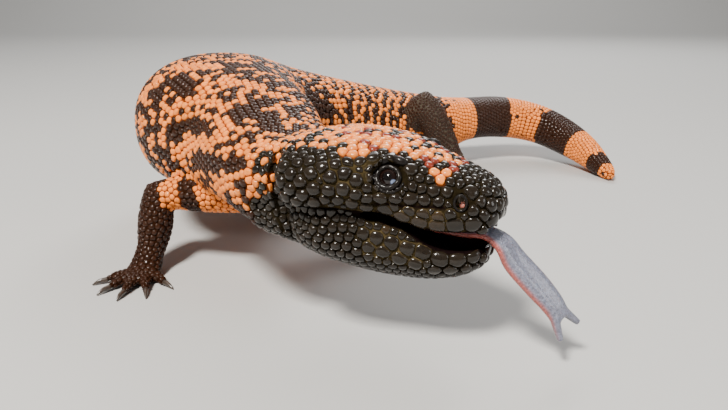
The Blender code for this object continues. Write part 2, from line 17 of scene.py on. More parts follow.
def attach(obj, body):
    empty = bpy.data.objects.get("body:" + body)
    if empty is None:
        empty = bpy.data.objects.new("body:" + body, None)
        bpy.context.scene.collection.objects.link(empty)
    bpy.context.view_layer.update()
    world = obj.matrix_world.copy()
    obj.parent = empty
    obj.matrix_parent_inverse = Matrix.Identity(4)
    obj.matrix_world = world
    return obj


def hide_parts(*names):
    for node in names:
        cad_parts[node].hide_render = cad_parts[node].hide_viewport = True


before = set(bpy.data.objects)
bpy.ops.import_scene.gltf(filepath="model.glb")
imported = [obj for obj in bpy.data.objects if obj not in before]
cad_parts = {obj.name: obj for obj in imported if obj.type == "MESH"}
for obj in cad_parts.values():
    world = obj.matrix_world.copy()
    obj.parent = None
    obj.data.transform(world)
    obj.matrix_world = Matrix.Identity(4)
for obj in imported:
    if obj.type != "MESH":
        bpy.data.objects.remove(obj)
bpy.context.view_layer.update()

# %% [markdown]
# ## Plan and units
#
# The animal is laid out in millimetres on a floor plan seen from the viewer's side: x to the right, y away, z
# up. The solids use the same plan with its middle at the origin, so one function turns plan points into model
# points. A fixed seed makes every run the same.

# %% Plan and units
MM = 0.001
PLAN_MIDDLE = np.array([22.0, 305.45, 0.0])
UP = np.array([0.0, 0.0, 1.0])
chance = np.random.default_rng(7)


def to_model(plan_points):
    """Plan millimetres become model metres: take away the plan's middle, then scale by a thousandth."""
    return (np.asarray(plan_points, float) - PLAN_MIDDLE) * MM


def to_plan(model_points):
    """Model metres become plan millimetres: the other way round."""
    return np.asarray(model_points, float) / MM + PLAN_MIDDLE


print("the model's origin lies at", PLAN_MIDDLE, "mm in the plan")

# %% [markdown]
# ## Helpers for arrays and meshes
#
# Points are the rows of an array, so one line of numpy works on all of them at once. A mesh is made from its
# points and from faces that name them by number. Its object stays at the origin, so that a pattern in its own
# space lies still on it. A colour for each point is kept in the mesh, where a material can read it.

# %% Helpers for arrays and meshes
def unit(vectors):
    """Each vector divided by its length."""
    vectors = np.asarray(vectors, float)
    return vectors / np.maximum(np.linalg.norm(vectors, axis=-1, keepdims=True), 1e-9)


def smoothstep(low, high, values):
    """0 below low, 1 above high, and 3 t squared minus 2 t cubed between them."""
    t = np.clip((np.asarray(values, float) - low) / (high - low), 0.0, 1.0)
    return t * t * (3 - 2 * t)


def put_in_scene(name, data):
    """A new object that holds this mesh, lamp or camera, linked to the scene."""
    made = bpy.data.objects.new(name, data)
    bpy.context.scene.collection.objects.link(made)
    return made


def mesh_object(name, points, faces):
    """A smooth-shaded mesh from plan points and from faces given as rows of point numbers."""
    mesh = bpy.data.meshes.new(name)
    mesh.from_pydata(to_model(points).tolist(), [], faces)
    mesh.update()
    mesh.shade_smooth()
    return put_in_scene(name, mesh)


def points_of(made):
    """The mesh's points in plan millimetres, read as one array."""
    flat = np.empty(len(made.data.vertices) * 3)
    made.data.vertices.foreach_get("co", flat)
    return to_plan(flat.reshape(-1, 3))


def add_colours(made, colours):
    """Writes one colour per point as an attribute of the mesh, called tint."""
    layer = made.data.color_attributes.new("tint", "FLOAT_COLOR", "POINT")
    full = np.hstack([colours, np.ones((len(colours), 1))])
    layer.data.foreach_set("color", full.ravel().astype(np.float32))


print("a quarter of the way up a smooth step is", float(smoothstep(0.0, 1.0, 0.25)))

# %% [markdown]
# ## Camera
#
# The photograph was taken close to a small animal with a wide lens, so the head looks large. A camera 100 mm
# above the floor and tipped down by 18 degrees gives the same view. Its focal length follows from how fast
# sizes shrink towards the tail.

# %% Camera
CAMERA_HEIGHT = 100.0
CAMERA_TIP = math.radians(18.0)
FOCAL_PIXELS = 630.0
IMAGE_WIDTH = 728
SENSOR = 36.0

lens = bpy.data.cameras.new("camera")
lens.sensor_width = SENSOR
lens.lens = FOCAL_PIXELS / IMAGE_WIDTH * SENSOR
lens.clip_start, lens.clip_end = 0.005, 50.0
camera = put_in_scene("camera", lens)
camera.location = to_model((0.0, 0.0, CAMERA_HEIGHT))
camera.rotation_euler = (math.pi / 2 - CAMERA_TIP, 0.0, 0.0)
bpy.context.scene.camera = camera
print("lens", round(lens.lens, 2), "mm")

# %% [markdown]
# ## Floor and light
#
# A plain pale floor lets the beads speak. Far behind the animal it curves up into a wall, as paper does in a
# photographer's studio, so no edge crosses the picture. Glossy domes show the shape of every lamp in them: a
# small high key lamp gives each bead one crisp light, and weaker, wider ones fill the sides.

# %% Floor and light
FLOOR_HALF = 4.0
FLOOR_DEPTH = 1.7
COVE_RADIUS = 0.9
WALL_HEIGHT = 2.0
FLOOR_DROP = 0.05
FLOOR_COLOUR = (0.47, 0.465, 0.45, 1.0)

turn = np.linspace(0.0, math.pi / 2, 25)
profile = np.vstack([[(-FLOOR_HALF, 0.0)],
                     np.stack([FLOOR_DEPTH + COVE_RADIUS * np.sin(turn),
                               COVE_RADIUS * (1 - np.cos(turn))], -1),
                     [(FLOOR_DEPTH + COVE_RADIUS, WALL_HEIGHT)]])
floor_points = np.array([[(x, y, z) for x in (-FLOOR_HALF, FLOOR_HALF)] for y, z in profile]).reshape(-1, 3)
steps = np.arange(0, len(floor_points) - 2, 2)[:, None]
floor = mesh_object("floor", floor_points / MM + PLAN_MIDDLE - UP * FLOOR_DROP,
                    (steps + [0, 1, 3, 2]).tolist())
floor_paint = bpy.data.materials.new("pale_floor")
floor_paint.use_nodes = True
floor_shader = floor_paint.node_tree.nodes["Principled BSDF"]
floor_shader.inputs["Base Color"].default_value = FLOOR_COLOUR
floor_shader.inputs["Roughness"].default_value = 0.75
floor.data.materials.append(floor_paint)

WHITE = (1.0, 1.0, 1.0)
# name, place and target in metres, power in watts, side of its square, colour
LAMPS = (
    ("key lamp", (-0.35, -0.62, 0.95), (0.0, -0.02, 0.03), 30.0, 0.22, (1.0, 0.96, 0.90)),
    ("fill lamp", (0.95, -0.45, 0.45), (0.0, 0.0, 0.03), 4.0, 0.5, WHITE),
    ("back lamp", (0.35, 1.1, 0.95), (0.0, 0.1, 0.03), 10.0, 0.5, WHITE),
    ("wall lamp", (0.0, 1.6, 1.9), (0.0, 2.4, 0.0), 34.0, 2.0, WHITE),
)
SKY_COLOUR = (0.88, 0.88, 0.90, 1.0)
SKY_STRENGTH = 0.19

for name, place, target, power, size, colour in LAMPS:
    light = bpy.data.lights.new(name, "AREA")
    light.energy, light.size, light.color = power, size, colour
    lamp = put_in_scene(name, light)
    lamp.location = place
    lamp.rotation_euler = (Vector(target) - Vector(place)).to_track_quat("-Z", "Y").to_euler()
studio = bpy.data.worlds.new("studio")
studio.use_nodes = True
studio.node_tree.nodes["Background"].inputs["Color"].default_value = SKY_COLOUR
studio.node_tree.nodes["Background"].inputs["Strength"].default_value = SKY_STRENGTH
bpy.context.scene.world = studio
print("lamps", [lamp[0] for lamp in LAMPS])

# %% [markdown]
# ## Axes and sizes of the head
#
# The head looks 27 degrees towards the viewer, so its points are given along, leftward and upward from the
# middle of its back. It is a blunt wedge, widest at the cheeks. A few stations from nape to snout give its
# half width and its edges: crown and lip for the upper head, lip and chin for the jaw.

# %% Axes and sizes of the head
HEAD_ORIGIN = np.array([-18.0, 196.0, 46.0])
HEAD_YAW = math.radians(27.0)
HEAD_FORWARD = np.array([math.cos(HEAD_YAW), -math.sin(HEAD_YAW), 0.0])
HEAD_LEFT = np.cross(UP, HEAD_FORWARD)


def from_head(along, leftward, upward):
    """The head's origin plus so much forward, so much left and so much up."""
    along, leftward, upward = np.broadcast_arrays(along, leftward, upward)
    return (HEAD_ORIGIN + along[..., None] * HEAD_FORWARD + leftward[..., None] * HEAD_LEFT
            + upward[..., None] * UP)


def into_head(plan_points):
    """Plan points as along, leftward and upward: dot products with the head's axes."""
    offset = np.asarray(plan_points, float) - HEAD_ORIGIN
    return np.stack([offset @ HEAD_FORWARD, offset @ HEAD_LEFT, offset[..., 2]], -1)


HEAD_BACK = -3.0
HEAD_TIP = 63.6
JAW_TIP = 60.5
# along, half width, crown, lip
HEAD_STATIONS = (
    (-4.0, 20.0, 13.5, -4.2),
    (3.0, 21.5, 15.0, -3.4),
    (9.0, 25.0, 16.0, -2.6),
    (17.0, 25.5, 16.3, -2.0),
    (25.0, 23.5, 16.0, -2.0),
    (34.0, 20.0, 14.7, -2.6),
    (44.0, 16.3, 11.8, -6.3),
    (53.0, 13.2, 9.0, -7.4),
    (59.0, 10.6, 6.4, -7.0),
    (62.2, 7.4, 3.6, -6.6),
    (63.6, 3.6, 0.6, -6.2),
)
# along, half width, lip, chin
JAW_STATIONS = (
    (-4.0, 17.5, -4.6, -18.0),
    (5.0, 19.5, -3.6, -19.5),
    (15.0, 22.3, -2.7, -22.0),
    (25.0, 20.8, -3.1, -24.0),
    (33.0, 18.0, -4.7, -25.0),
    (40.0, 15.6, -6.8, -25.0),
    (46.0, 13.6, -11.0, -24.2),
    (53.0, 11.2, -12.3, -22.2),
    (58.0, 8.2, -11.8, -19.4),
    (60.5, 4.6, -11.4, -16.6),
)
print("head stations", len(HEAD_STATIONS), "jaw stations", len(JAW_STATIONS))

# %% [markdown]
# ## Smooth lines through stations
#
# A few stations name the animal's real sizes. A Catmull-Rom curve runs through them without corners: on each
# stretch it is a cubic that leaves along the line between the station before and the station after. Trunk,
# tail, toes, claws and tongue are such lines in space. One class gives the centre, three directions and the
# sizes at any run along them.

# %% Smooth lines through stations
def smooth_line(stations, lead=None, samples=24):
    """Points and slopes of a Catmull-Rom curve through the rows of stations, each stretch a Hermite cubic."""
    rows = np.array(stations, float)
    lead = 2 * rows[0] - rows[1] if lead is None else lead
    ends = np.vstack([lead, rows, 2 * rows[-1] - rows[-2]])
    s = np.linspace(0.0, 1.0, samples, endpoint=False)[None, :, None]
    start, end = ends[1:-2, None], ends[2:-1, None]
    leave, arrive = (end - ends[:-3, None]) / 2, (ends[3:, None] - start) / 2
    points = (start * (2 * s**3 - 3 * s**2 + 1) + leave * (s**3 - 2 * s**2 + s)
              + end * (3 * s**2 - 2 * s**3) + arrive * (s**3 - s**2))
    slopes = ((start - end) * (6 * s**2 - 6 * s) + leave * (3 * s**2 - 4 * s + 1)
              + arrive * (3 * s**2 - 2 * s))
    width = rows.shape[1]
    return (np.vstack([points.reshape(-1, width), rows[-1:]]),
            np.vstack([slopes.reshape(-1, width), arrive[-1]]))


def stations_at(stations, places):
    """Smooth values of each column of stations at these places along its first column."""
    rows, _ = smooth_line(stations)
    return [np.interp(places, rows[:, 0], rows[:, k]) for k in range(1, rows.shape[1])]


class BentLine:
    """A smooth line in the plan with sizes that change along it, read at any distance from its start."""

    def __init__(self, stations, lead=None, hinge=None):
        """Rows of stations are x, y, z and then sizes. The run adds up the lengths of the line's steps."""
        rows, slopes = smooth_line(stations, lead)
        self.line, self.sizes, self.slope = rows[:, :3], rows[:, 3:], unit(slopes[:, :3])
        self.run = np.concatenate([[0.0], np.cumsum(np.linalg.norm(np.diff(self.line, axis=0), axis=1))])
        self.length = self.run[-1]
        self.hinge = hinge

    def read(self, table, runs):
        """Each column of a table, interpolated over the run."""
        return np.stack([np.interp(runs, self.run, column) for column in table.T], -1)

    def at(self, runs):
        """Centre, side, top, forward and sizes. Side is level, or the hinge, less its part along forward."""
        runs = np.asarray(runs, float)
        forward = unit(self.read(self.slope, runs))
        hint = np.cross(UP, forward) if self.hinge is None else np.broadcast_to(self.hinge, forward.shape)
        side = unit(hint - (hint * forward).sum(-1, keepdims=True) * forward)
        return self.read(self.line, runs), side, np.cross(forward, side), forward, self.read(self.sizes, runs)


print("half width of the head at its middle", round(float(stations_at(HEAD_STATIONS, 30.0)[0]), 1), "mm")

# %% [markdown]
# ## The body line
#
# Neck, trunk and tail are one line bent like a C, from the nape round to the tail's tip. The trunk is fat and
# humped in the middle, since the animal stores food there and in its tail.

# %% The body line
NAPE_TURN = math.radians(17.5)
NAPE_SECTION = (21.0, 13.8, 17.8)
NAPE_STRAIGHTNESS = 40.0
# x, y and z of the axis, half width, back above it, belly below it
BODY_STATIONS = (
    (-32.0, 214.5, 46.8, 22.0, 17.0, 18.0),
    (-43.0, 241.0, 47.0, 27.0, 25.0, 23.0),
    (-60.0, 272.0, 48.0, 36.5, 29.0, 27.5),
    (-63.5, 308.0, 44.5, 39.0, 30.5, 30.5),
    (-43.0, 343.0, 37.0, 36.0, 28.0, 32.0),
    (-8.0, 371.0, 29.5, 29.0, 24.5, 30.1),
    (34.0, 393.0, 26.0, 19.5, 18.0, 26.9),
    (62.0, 404.0, 27.0, 15.5, 13.5, 14.0),
    (90.0, 412.0, 27.0, 14.0, 12.8, 13.0),
    (115.0, 408.0, 22.5, 12.4, 11.6, 12.0),
    (134.0, 388.0, 13.5, 9.6, 9.0, 9.6),
    (142.5, 362.0, 5.0, 5.0, 4.6, 5.4),
    (143.0, 352.0, 3.0, 2.0, 2.0, 2.4),
)
TAIL_START = 0.665

nape = from_head(np.array(HEAD_BACK), 0.0, 0.0)
nape_heading = -HEAD_YAW - NAPE_TURN
nape_way = np.array([math.cos(nape_heading), math.sin(nape_heading), 0.0])
nape_lead = np.array(BODY_STATIONS[0][:3]) + NAPE_STRAIGHTNESS * nape_way
body_line = BentLine([(*nape, *NAPE_SECTION), *BODY_STATIONS], lead=np.array([*nape_lead, *NAPE_SECTION]))
print("nape to tail tip", round(body_line.length), "mm")

# %% [markdown]
# ## Sections and tubes
#
# A trunk's section is not a circle but a rounded box. The power of cosine and sine sets how square it is.
# Rings of such sections along a line, joined by faces and closed at both ends, make a tube.

# %% Sections and tubes
BODY_SQUARENESS = 2.3
SKIN_INSET = 0.15


def rounded(angles, squareness):
    """Across and rise of a rounded box: cosine and sine raised to 2 over the squareness, with their signs."""
    across, rise = np.cos(angles), np.sin(angles)
    power = 2.0 / squareness
    return np.sign(across) * np.abs(across) ** power, np.sign(rise) * np.abs(rise) ** power


def body_points(runs, angles, grow=0.0):
    """The body's surface at these runs and angles: centre plus width times across plus height times rise."""
    centre, side, top, _, sizes = body_line.at(runs)
    across, rise = rounded(angles, BODY_SQUARENESS)
    wide = sizes[..., 0] + grow
    tall = np.where(rise > 0, sizes[..., 1], sizes[..., 2]) + grow
    return centre + (wide * across)[..., None] * side + (tall * rise)[..., None] * top


def ring_faces(count, sides):
    """Faces between rings of points: each point, the next one round, and the same two on the next ring."""
    grid = np.arange(count * sides).reshape(count, sides)
    turned = np.roll(grid, -1, axis=1)
    return grid, turned, np.stack([grid[:-1], turned[:-1], turned[1:], grid[1:]], -1).reshape(-1, 4)


def closed_tube(name, rings):
    """Rings joined by four-sided faces, and each end closed by a fan to its middle point."""
    count, sides = rings.shape[:2]
    grid, turned, quads = ring_faces(count, sides)
    first, last = count * sides, count * sides + 1
    fans = [np.stack([np.full(sides, first), turned[0], grid[0]], -1),
            np.stack([np.full(sides, last), grid[-1], turned[-1]], -1)]
    points = np.vstack([rings.reshape(-1, 3), rings[0].mean(0), rings[-1].mean(0)])
    return mesh_object(name, points, quads.tolist() + fans[0].tolist() + fans[1].tolist())


body_runs = np.linspace(0.0, body_line.length, 150)
body_angles = -math.pi / 2 + 2 * math.pi * (np.arange(64) + 0.5) / 64
body_rings = body_points(*np.meshgrid(body_runs, body_angles, indexing="ij"), -SKIN_INSET)
flesh = [closed_tube("body form", body_rings)]
print("body form", len(flesh[0].data.vertices), "points")

# %% [markdown]
# ## Head and jaw
#
# The upper head is a row of sections: over the crown from lip to lip, then back under the arched palate. The
# jaw is the same turned over. Near the nape the sections turn with the neck, which a shear does: each point
# moves forward by its distance from the middle times the tangent of the turn.

# %% Head and jaw
NAPE_REACH = 15.0
NECK_OVERLAP = 3.0
HEAD_SQUARENESS = 2.5
JAW_SQUARENESS = 2.2
LIP_WALL = 0.34
PALATE_ARCH = 2.4
PALATE_WIDTH = 0.88
MOUTH_FLOOR_WIDTH = 0.93


def turned_with_nape(places, leftward):
    """Stations of the head's points, sheared by the nape's turn over the last stretch to the back."""
    share = np.clip((HEAD_BACK + NAPE_REACH - places) / NAPE_REACH, 0.0, 1.0)
    return places + math.tan(NAPE_TURN) * share * leftward


def mouth_arch(thick, share):
    """The palate's arch, 1 minus the share squared, lower where the wall round it is thin."""
    return PALATE_ARCH * np.minimum(1.0, thick / 10.0) * (1 - share**2)


def upper_head_rings(places, outer=61, inner=17, grow=0.0):
    """Sections from left lip over the crown to right lip, and back under the arch of the palate."""
    wide, crown, lip = (column[:, None] for column in stations_at(HEAD_STATIONS, places))
    across, rise = rounded(math.pi * np.arange(outer)[None, :] / (outer - 1), HEAD_SQUARENESS)
    brow = lip + LIP_WALL * (crown - lip)
    share = np.linspace(-1.0, 1.0, inner + 2)[None, :]
    leftward = np.hstack([(wide + grow) * across, PALATE_WIDTH * (wide + grow) * share])
    upward = np.hstack([brow + (crown + grow - brow) * rise, lip + mouth_arch(crown - lip, share)])
    return from_head(turned_with_nape(places[:, None], leftward), leftward, upward)


def jaw_rings(places, outer=51, inner=17, grow=0.0):
    """Sections from right lip under the chin to left lip, and back along the hollow floor of the mouth."""
    wide, lip, chin = (column[:, None] for column in stations_at(JAW_STATIONS, places))
    angle = math.pi * np.arange(outer)[None, :] / (outer - 1)
    belly = lip - LIP_WALL * (lip - chin)
    under = belly - (belly - chin + grow) * np.abs(np.sin(angle)) ** (2 / JAW_SQUARENESS)
    share = np.linspace(1.0, -1.0, inner + 2)[None, :]
    leftward = np.hstack([-(wide + grow) * np.cos(angle), MOUTH_FLOOR_WIDTH * (wide + grow) * share])
    upward = np.hstack([under, lip - mouth_arch(lip - chin, share)])
    return from_head(turned_with_nape(places[:, None], leftward), leftward, upward)


back = HEAD_BACK - NECK_OVERLAP
head_places = np.concatenate([np.linspace(back, 58.0, 62), np.linspace(58.6, HEAD_TIP, 9)])
jaw_places = np.concatenate([np.linspace(back, 56.0, 58), np.linspace(56.6, JAW_TIP, 7)])
flesh.append(closed_tube("upper head form", upper_head_rings(head_places, grow=-SKIN_INSET)))
flesh.append(closed_tube("jaw form", jaw_rings(jaw_places, grow=-SKIN_INSET)))
print("head sections", len(head_places), "and jaw sections", len(jaw_places))

# %% [markdown]
# ## Lengths of the legs
#
# Each leg is two straight lengths, swollen by muscle, that meet in a mitre at elbow or knee. On the inside of
# the joint the rings lean towards the mitre, and on the outside they turn round it, so the joint is round.

# %% Lengths of the legs
# joints from root over elbow to wrist, the foot's heading in degrees, radii at the three joints
LEGS = {
    "foreleg_right": (((-40.0, 230.0, 31.0), (-80.0, 236.0, 27.0), (-82.0, 227.0, 9.0)), -100.0,
                      (8.0, 6.4, 5.2)),
    "foreleg_left": (((-36.0, 246.0, 34.0), (-2.0, 262.0, 27.0), (7.0, 252.0, 9.0)), -50.0, (8.0, 6.4, 5.2)),
    "hindleg_left": (((25.0, 378.0, 20.0), (35.0, 364.0, 41.0), (52.0, 367.0, 12.0)), -43.0,
                     (10.0, 9.4, 6.3)),
    "hindleg_right": (((30.0, 398.0, 20.0), (20.0, 424.0, 20.0), (4.0, 432.0, 11.0)), 150.0,
                      (10.0, 9.4, 6.3)),
}
ELBOW_DEPTH = 1.03
BEND_START = 0.78
LEG_SIDES = 28
LEG_RINGS = 24
UPPER_SWELL = 0.4
LOWER_SWELL = 0.9


def limb_rings(start, end, radii, hinge, cuts):
    """Rings along a straight length. The inside leans by the square of the share, the outside turns round."""
    forward = unit(end - start)
    top = np.cross(forward, hinge)
    share = np.linspace(0.0, 1.0, LEG_RINGS)[:, None]
    radius = radii[0] + (radii[1] - radii[0]) * share + radii[2] * np.sin(math.pi * share) - SKIN_INSET
    inside = outside = np.repeat(top[None, :], LEG_RINGS, axis=0)
    for cut, near in zip(cuts, (1 - share, share)):
        if cut is not None:
            turned = np.maximum(0.0, (near - BEND_START) / (1 - BEND_START))
            inside = (1 - near**2) * top + near**2 * ELBOW_DEPTH * cut
            outside = (1 + turned * (ELBOW_DEPTH - 1)) * unit((1 - turned) * top + turned * cut)
    angle = 2 * math.pi * np.arange(LEG_SIDES) / LEG_SIDES
    across, rise = np.cos(angle)[None, :, None], np.sin(angle)[None, :, None]
    centre = start + (end - start) * share
    lean = np.where(rise > 0, outside[:, None], inside[:, None])
    return centre[:, None] + radius[:, None] * (across * hinge + rise * lean)


leg_joints, leg_lines = {}, {}
for name, (joints, heading, radii) in LEGS.items():
    root, elbow, wrist = (np.array(joint) for joint in joints)
    upper_way, lower_way = unit(elbow - root), unit(wrist - elbow)
    hinge = unit(np.cross(upper_way, lower_way))
    mitre = np.cross(unit(upper_way + lower_way), hinge)
    upper = limb_rings(root, elbow, (radii[0], radii[1], UPPER_SWELL), hinge, (None, mitre))
    lower = limb_rings(elbow, wrist, (radii[1], radii[2], LOWER_SWELL), hinge, (mitre, None))
    leg_lines[name] = (root, elbow, wrist, radii)
    leg_joints[name] = np.vstack([upper, lower[1:]])
print("rings of a leg", len(leg_joints["foreleg_right"]))

# %% [markdown]
# ## Feet and toes
#
# The foot bends from the wrist to a flat palm with five short, thick toes that end in strong claws. Foot and
# toes are bent lines swept with a rounded section, and they overlap where they meet.

# %% Feet and toes
FOOT_LENGTH = 11.0
FOOT_HALF_WIDTH = 6.2
FOOT_HEIGHT = 3.4
FOOT_SQUARENESS = 2.2
TOE_RADIUS = 1.9
# turn from the foot's heading in degrees, and length
TOES = ((-52.0, 7.5), (-24.0, 9.5), (2.0, 10.5), (28.0, 9.5), (58.0, 7.0))
TOE_TAPER = (1.0, 1.0, 0.78)


def level_way(heading):
    """The level direction of a heading: cosine along x and sine along y."""
    return np.array([math.cos(heading), math.sin(heading), 0.0])


def sized_tube(name, line, count, sides, squareness=2.0):
    """A tube round a bent line whose sizes are half width and half height."""
    centre, side, top, _, sizes = line.at(np.linspace(0.0, line.length, count))
    across, rise = rounded(2 * math.pi * (np.arange(sides) + 0.5)[None, :, None] / sides, squareness)
    rings = (centre[:, None] + sizes[:, None, :1] * across * side[:, None]
             + sizes[:, None, 1:2] * rise * top[:, None])
    return closed_tube(name, rings)


def foot_line(wrist, lower_way, radius, heading):
    """The foot's line: down out of the wrist, over the palm and level to the roots of the toes."""
    forward = level_way(heading)
    start = wrist - lower_way * 2.0
    ground = wrist * [1.0, 1.0, 0.0] + forward * wrist[2] * 0.25
    palm, front = ground + forward * FOOT_LENGTH * 0.4, ground + forward * FOOT_LENGTH
    stations = (
        (*start, radius - SKIN_INSET, radius - SKIN_INSET),
        (*((start + palm) / 2 + UP * FOOT_HEIGHT * 0.5), radius - SKIN_INSET, radius * 0.9),
        (*(palm + UP * FOOT_HEIGHT), FOOT_HALF_WIDTH - SKIN_INSET, FOOT_HEIGHT + 0.4),
        (*(front + UP * TOE_RADIUS), FOOT_HALF_WIDTH * 0.9, TOE_RADIUS + 0.3),
    )
    lead = np.array([*(start - lower_way * 6.0), radius, radius])
    return BentLine(stations, lead=lead, hinge=np.cross(UP, forward)), palm


def toe_line(palm, heading, length):
    """A toe's line, low over the floor and slightly arched, with a thinner tip."""
    way = level_way(heading)
    base = palm + way * FOOT_LENGTH * 0.3 + UP * TOE_RADIUS * 0.85
    tip = palm + way * (FOOT_LENGTH * 0.6 + length) + UP * TOE_RADIUS * 0.72
    middle = (base + tip) / 2 + UP * 0.9
    radii = np.array(TOE_TAPER) * TOE_RADIUS
    return BentLine([(*point, radius, radius) for point, radius in zip((base, middle, tip), radii)])


foot_lines, toe_lines = {}, {}
for name, (joints, heading, radii) in LEGS.items():
    root, elbow, wrist, _ = leg_lines[name]
    heading = math.radians(heading)
    foot_lines[name], palm = foot_line(wrist, unit(wrist - elbow), radii[2], heading)
    toe_lines[name] = [toe_line(palm, heading + math.radians(turn), length) for turn, length in TOES]
    flesh.append(closed_tube(f"{name} form", leg_joints[name]))
    flesh.append(sized_tube(f"{name} foot form", foot_lines[name], 24, LEG_SIDES, FOOT_SQUARENESS))
    flesh += [sized_tube(f"{name} toe form", toe, 14, 16) for toe in toe_lines[name]]
print("flesh forms", len(flesh))

# %% [markdown]
# ## One skin over everything
#
# The forms overlap like pieces of clay pressed together. A voxel remesh fuses them into one closed surface of
# even small squares, and smoothing takes away its steps. So no seam shows where a leg or the head joins.

# %% One skin over everything
SKIN_VOXEL = 1.13
SKIN_SMOOTHING = 7


def joined(name, pieces):
    """Several meshes as one object: the points of each follow the last one's, and its faces count on."""
    points, faces, start = [], [], 0
    for piece in pieces:
        own = points_of(piece)
        faces += [[number + start for number in polygon.vertices] for polygon in piece.data.polygons]
        start += len(own)
        points.append(own)
        bpy.data.objects.remove(piece, do_unlink=True)
    return mesh_object(name, np.vstack(points), faces)


def fuse(name, forms, voxel, smoothing):
    """Joins closed forms into one mesh, remeshes it on a grid of voxels and smooths it."""
    made = joined(name, forms)
    remesh = made.modifiers.new("remesh", "REMESH")
    remesh.mode = "VOXEL"
    remesh.voxel_size = voxel * MM
    soften = made.modifiers.new("soften", "SMOOTH")
    soften.factor = 0.5
    soften.iterations = smoothing
    bpy.context.view_layer.update()
    graph = bpy.context.evaluated_depsgraph_get()
    mesh = bpy.data.meshes.new_from_object(made.evaluated_get(graph))
    made.modifiers.clear()
    made.data = mesh
    return made


skin = fuse("gila_skin", flesh, SKIN_VOXEL, SKIN_SMOOTHING)
print("skin", len(skin.data.vertices), "points", len(skin.data.polygons), "faces")

# %% [markdown]
# ## Brows, cheeks and sockets
#
# The eyes look outward and a little up, and everything round an eye is laid out in its own three directions.
# Small forms are pushed into the skin point by point: a brow or a cheek is a bell-shaped swelling, a socket a
# flat cup behind the eyeball, and a nostril a small pit. Each fades with distance.

# %% Brows, cheeks and sockets
SIDES = (1.0, -1.0)
EYE_PLACE = np.array([35.3, 13.6, 6.9])
EYE_RADIUS = 3.4
EYE_TILT = math.radians(27.0)
EYE_LEAN = 0.10


def eye_axes(sign):
    """Centre of an eye in the head's axes, and its directions forward, upward in its plane, and outward."""
    outward = unit([EYE_LEAN, sign * math.cos(EYE_TILT), math.sin(EYE_TILT)])
    ahead = unit(np.array([1.0, 0.0, 0.0]) - outward[0] * outward)
    rise = np.cross(outward, ahead) * sign
    return EYE_PLACE * [1.0, sign, 1.0], ahead, rise * np.sign(rise[2]), outward


# middle, reach in three directions, and push, all for the left side
HEAD_SWELLS = (
    ((36.5, 14.2, 12.4), (7.0, 2.6, 2.4), (0.0, 0.9, 0.5)),
    ((46.0, 15.5, 4.5), (5.0, 3.5, 3.0), (0.0, -0.6, 0.0)),
    ((12.0, 25.0, 1.0), (6.0, 6.0, 8.0), (0.0, 1.0, 0.0)),
)
SOCKET_RADIUS = 4.3
NOSTRIL_PLACE = (55.2, 11.6, 2.4)
NOSTRIL_REACH = 2.2
NOSTRIL_DEPTH = 3.0


def swell(local, centre, reach, push):
    """Local points moved by push times a bell of their distance from centre, measured in units of reach."""
    distance = np.linalg.norm((local - centre) / reach, axis=1)
    return local + np.exp(-(distance**2))[:, None] * np.asarray(push)


def sink_socket(local, sign):
    """Points in front of the cup drop back to its floor, which rises from 1 mm in the middle to its rim."""
    centre, ahead, rise, outward = eye_axes(sign)
    off = local - centre
    height = off @ outward
    reach = np.hypot(off @ ahead, off @ rise)
    cup = 1.0 + 1.2 * smoothstep(3.2, SOCKET_RADIUS, reach)
    drop = np.where((reach < SOCKET_RADIUS) & (height > 0), np.maximum(height - cup, 0.0), 0.0)
    return local - drop[:, None] * outward


def sink_nostril(local, sign):
    """A pit whose depth is 1 minus the square of the distance, in an oval that stands upright."""
    off = local - np.array(NOSTRIL_PLACE) * [1.0, sign, 1.0]
    reach = np.linalg.norm(off * np.array([1.2, 0.6, 0.85]), axis=1) / NOSTRIL_REACH
    dip = np.clip(1 - reach**2, 0.0, 1.0) * NOSTRIL_DEPTH
    return local - dip[:, None] * np.array([0.35, sign * 0.9, 0.0])


print("swellings on each side", len(HEAD_SWELLS))

# %% [markdown]
# ## Creases, and the carved skin
#
# Behind the open lips the mouth's line runs on over the cheek as a crease, and another parts jowl and neck. A
# crease is a valley: its depth is 1 minus the square of the distance from its middle line. Then the soles are
# lifted off the floor, and a tree of the skin's faces tells quickly which point is nearest.

# %% Creases, and the carved skin
# place along the head and height of the mouth's closed line
MOUTH_CREASE = ((8.0, -3.4), (13.0, -2.8), (22.0, -2.5), (27.0, -3.0), (31.0, -3.6), (34.0, -4.0))
CREASE_HALF = 1.6
CREASE_DEPTH = 2.4
# height and place along the head of the jowl's line
JOWL_CREASE = ((-14.0, 5.0), (-6.0, 3.0), (2.0, 1.6), (9.0, 1.2), (14.0, 0.0))
JOWL_HALF = 3.4
JOWL_DEPTH = 3.0


def crease_height(along):
    """How high the closed part of the mouth's line runs, along the cheek."""
    return np.interp(along, *zip(*MOUTH_CREASE))


def jowl_place(up):
    """How far along the head the jowl's crease runs, at each height."""
    return np.interp(up, *zip(*JOWL_CREASE))


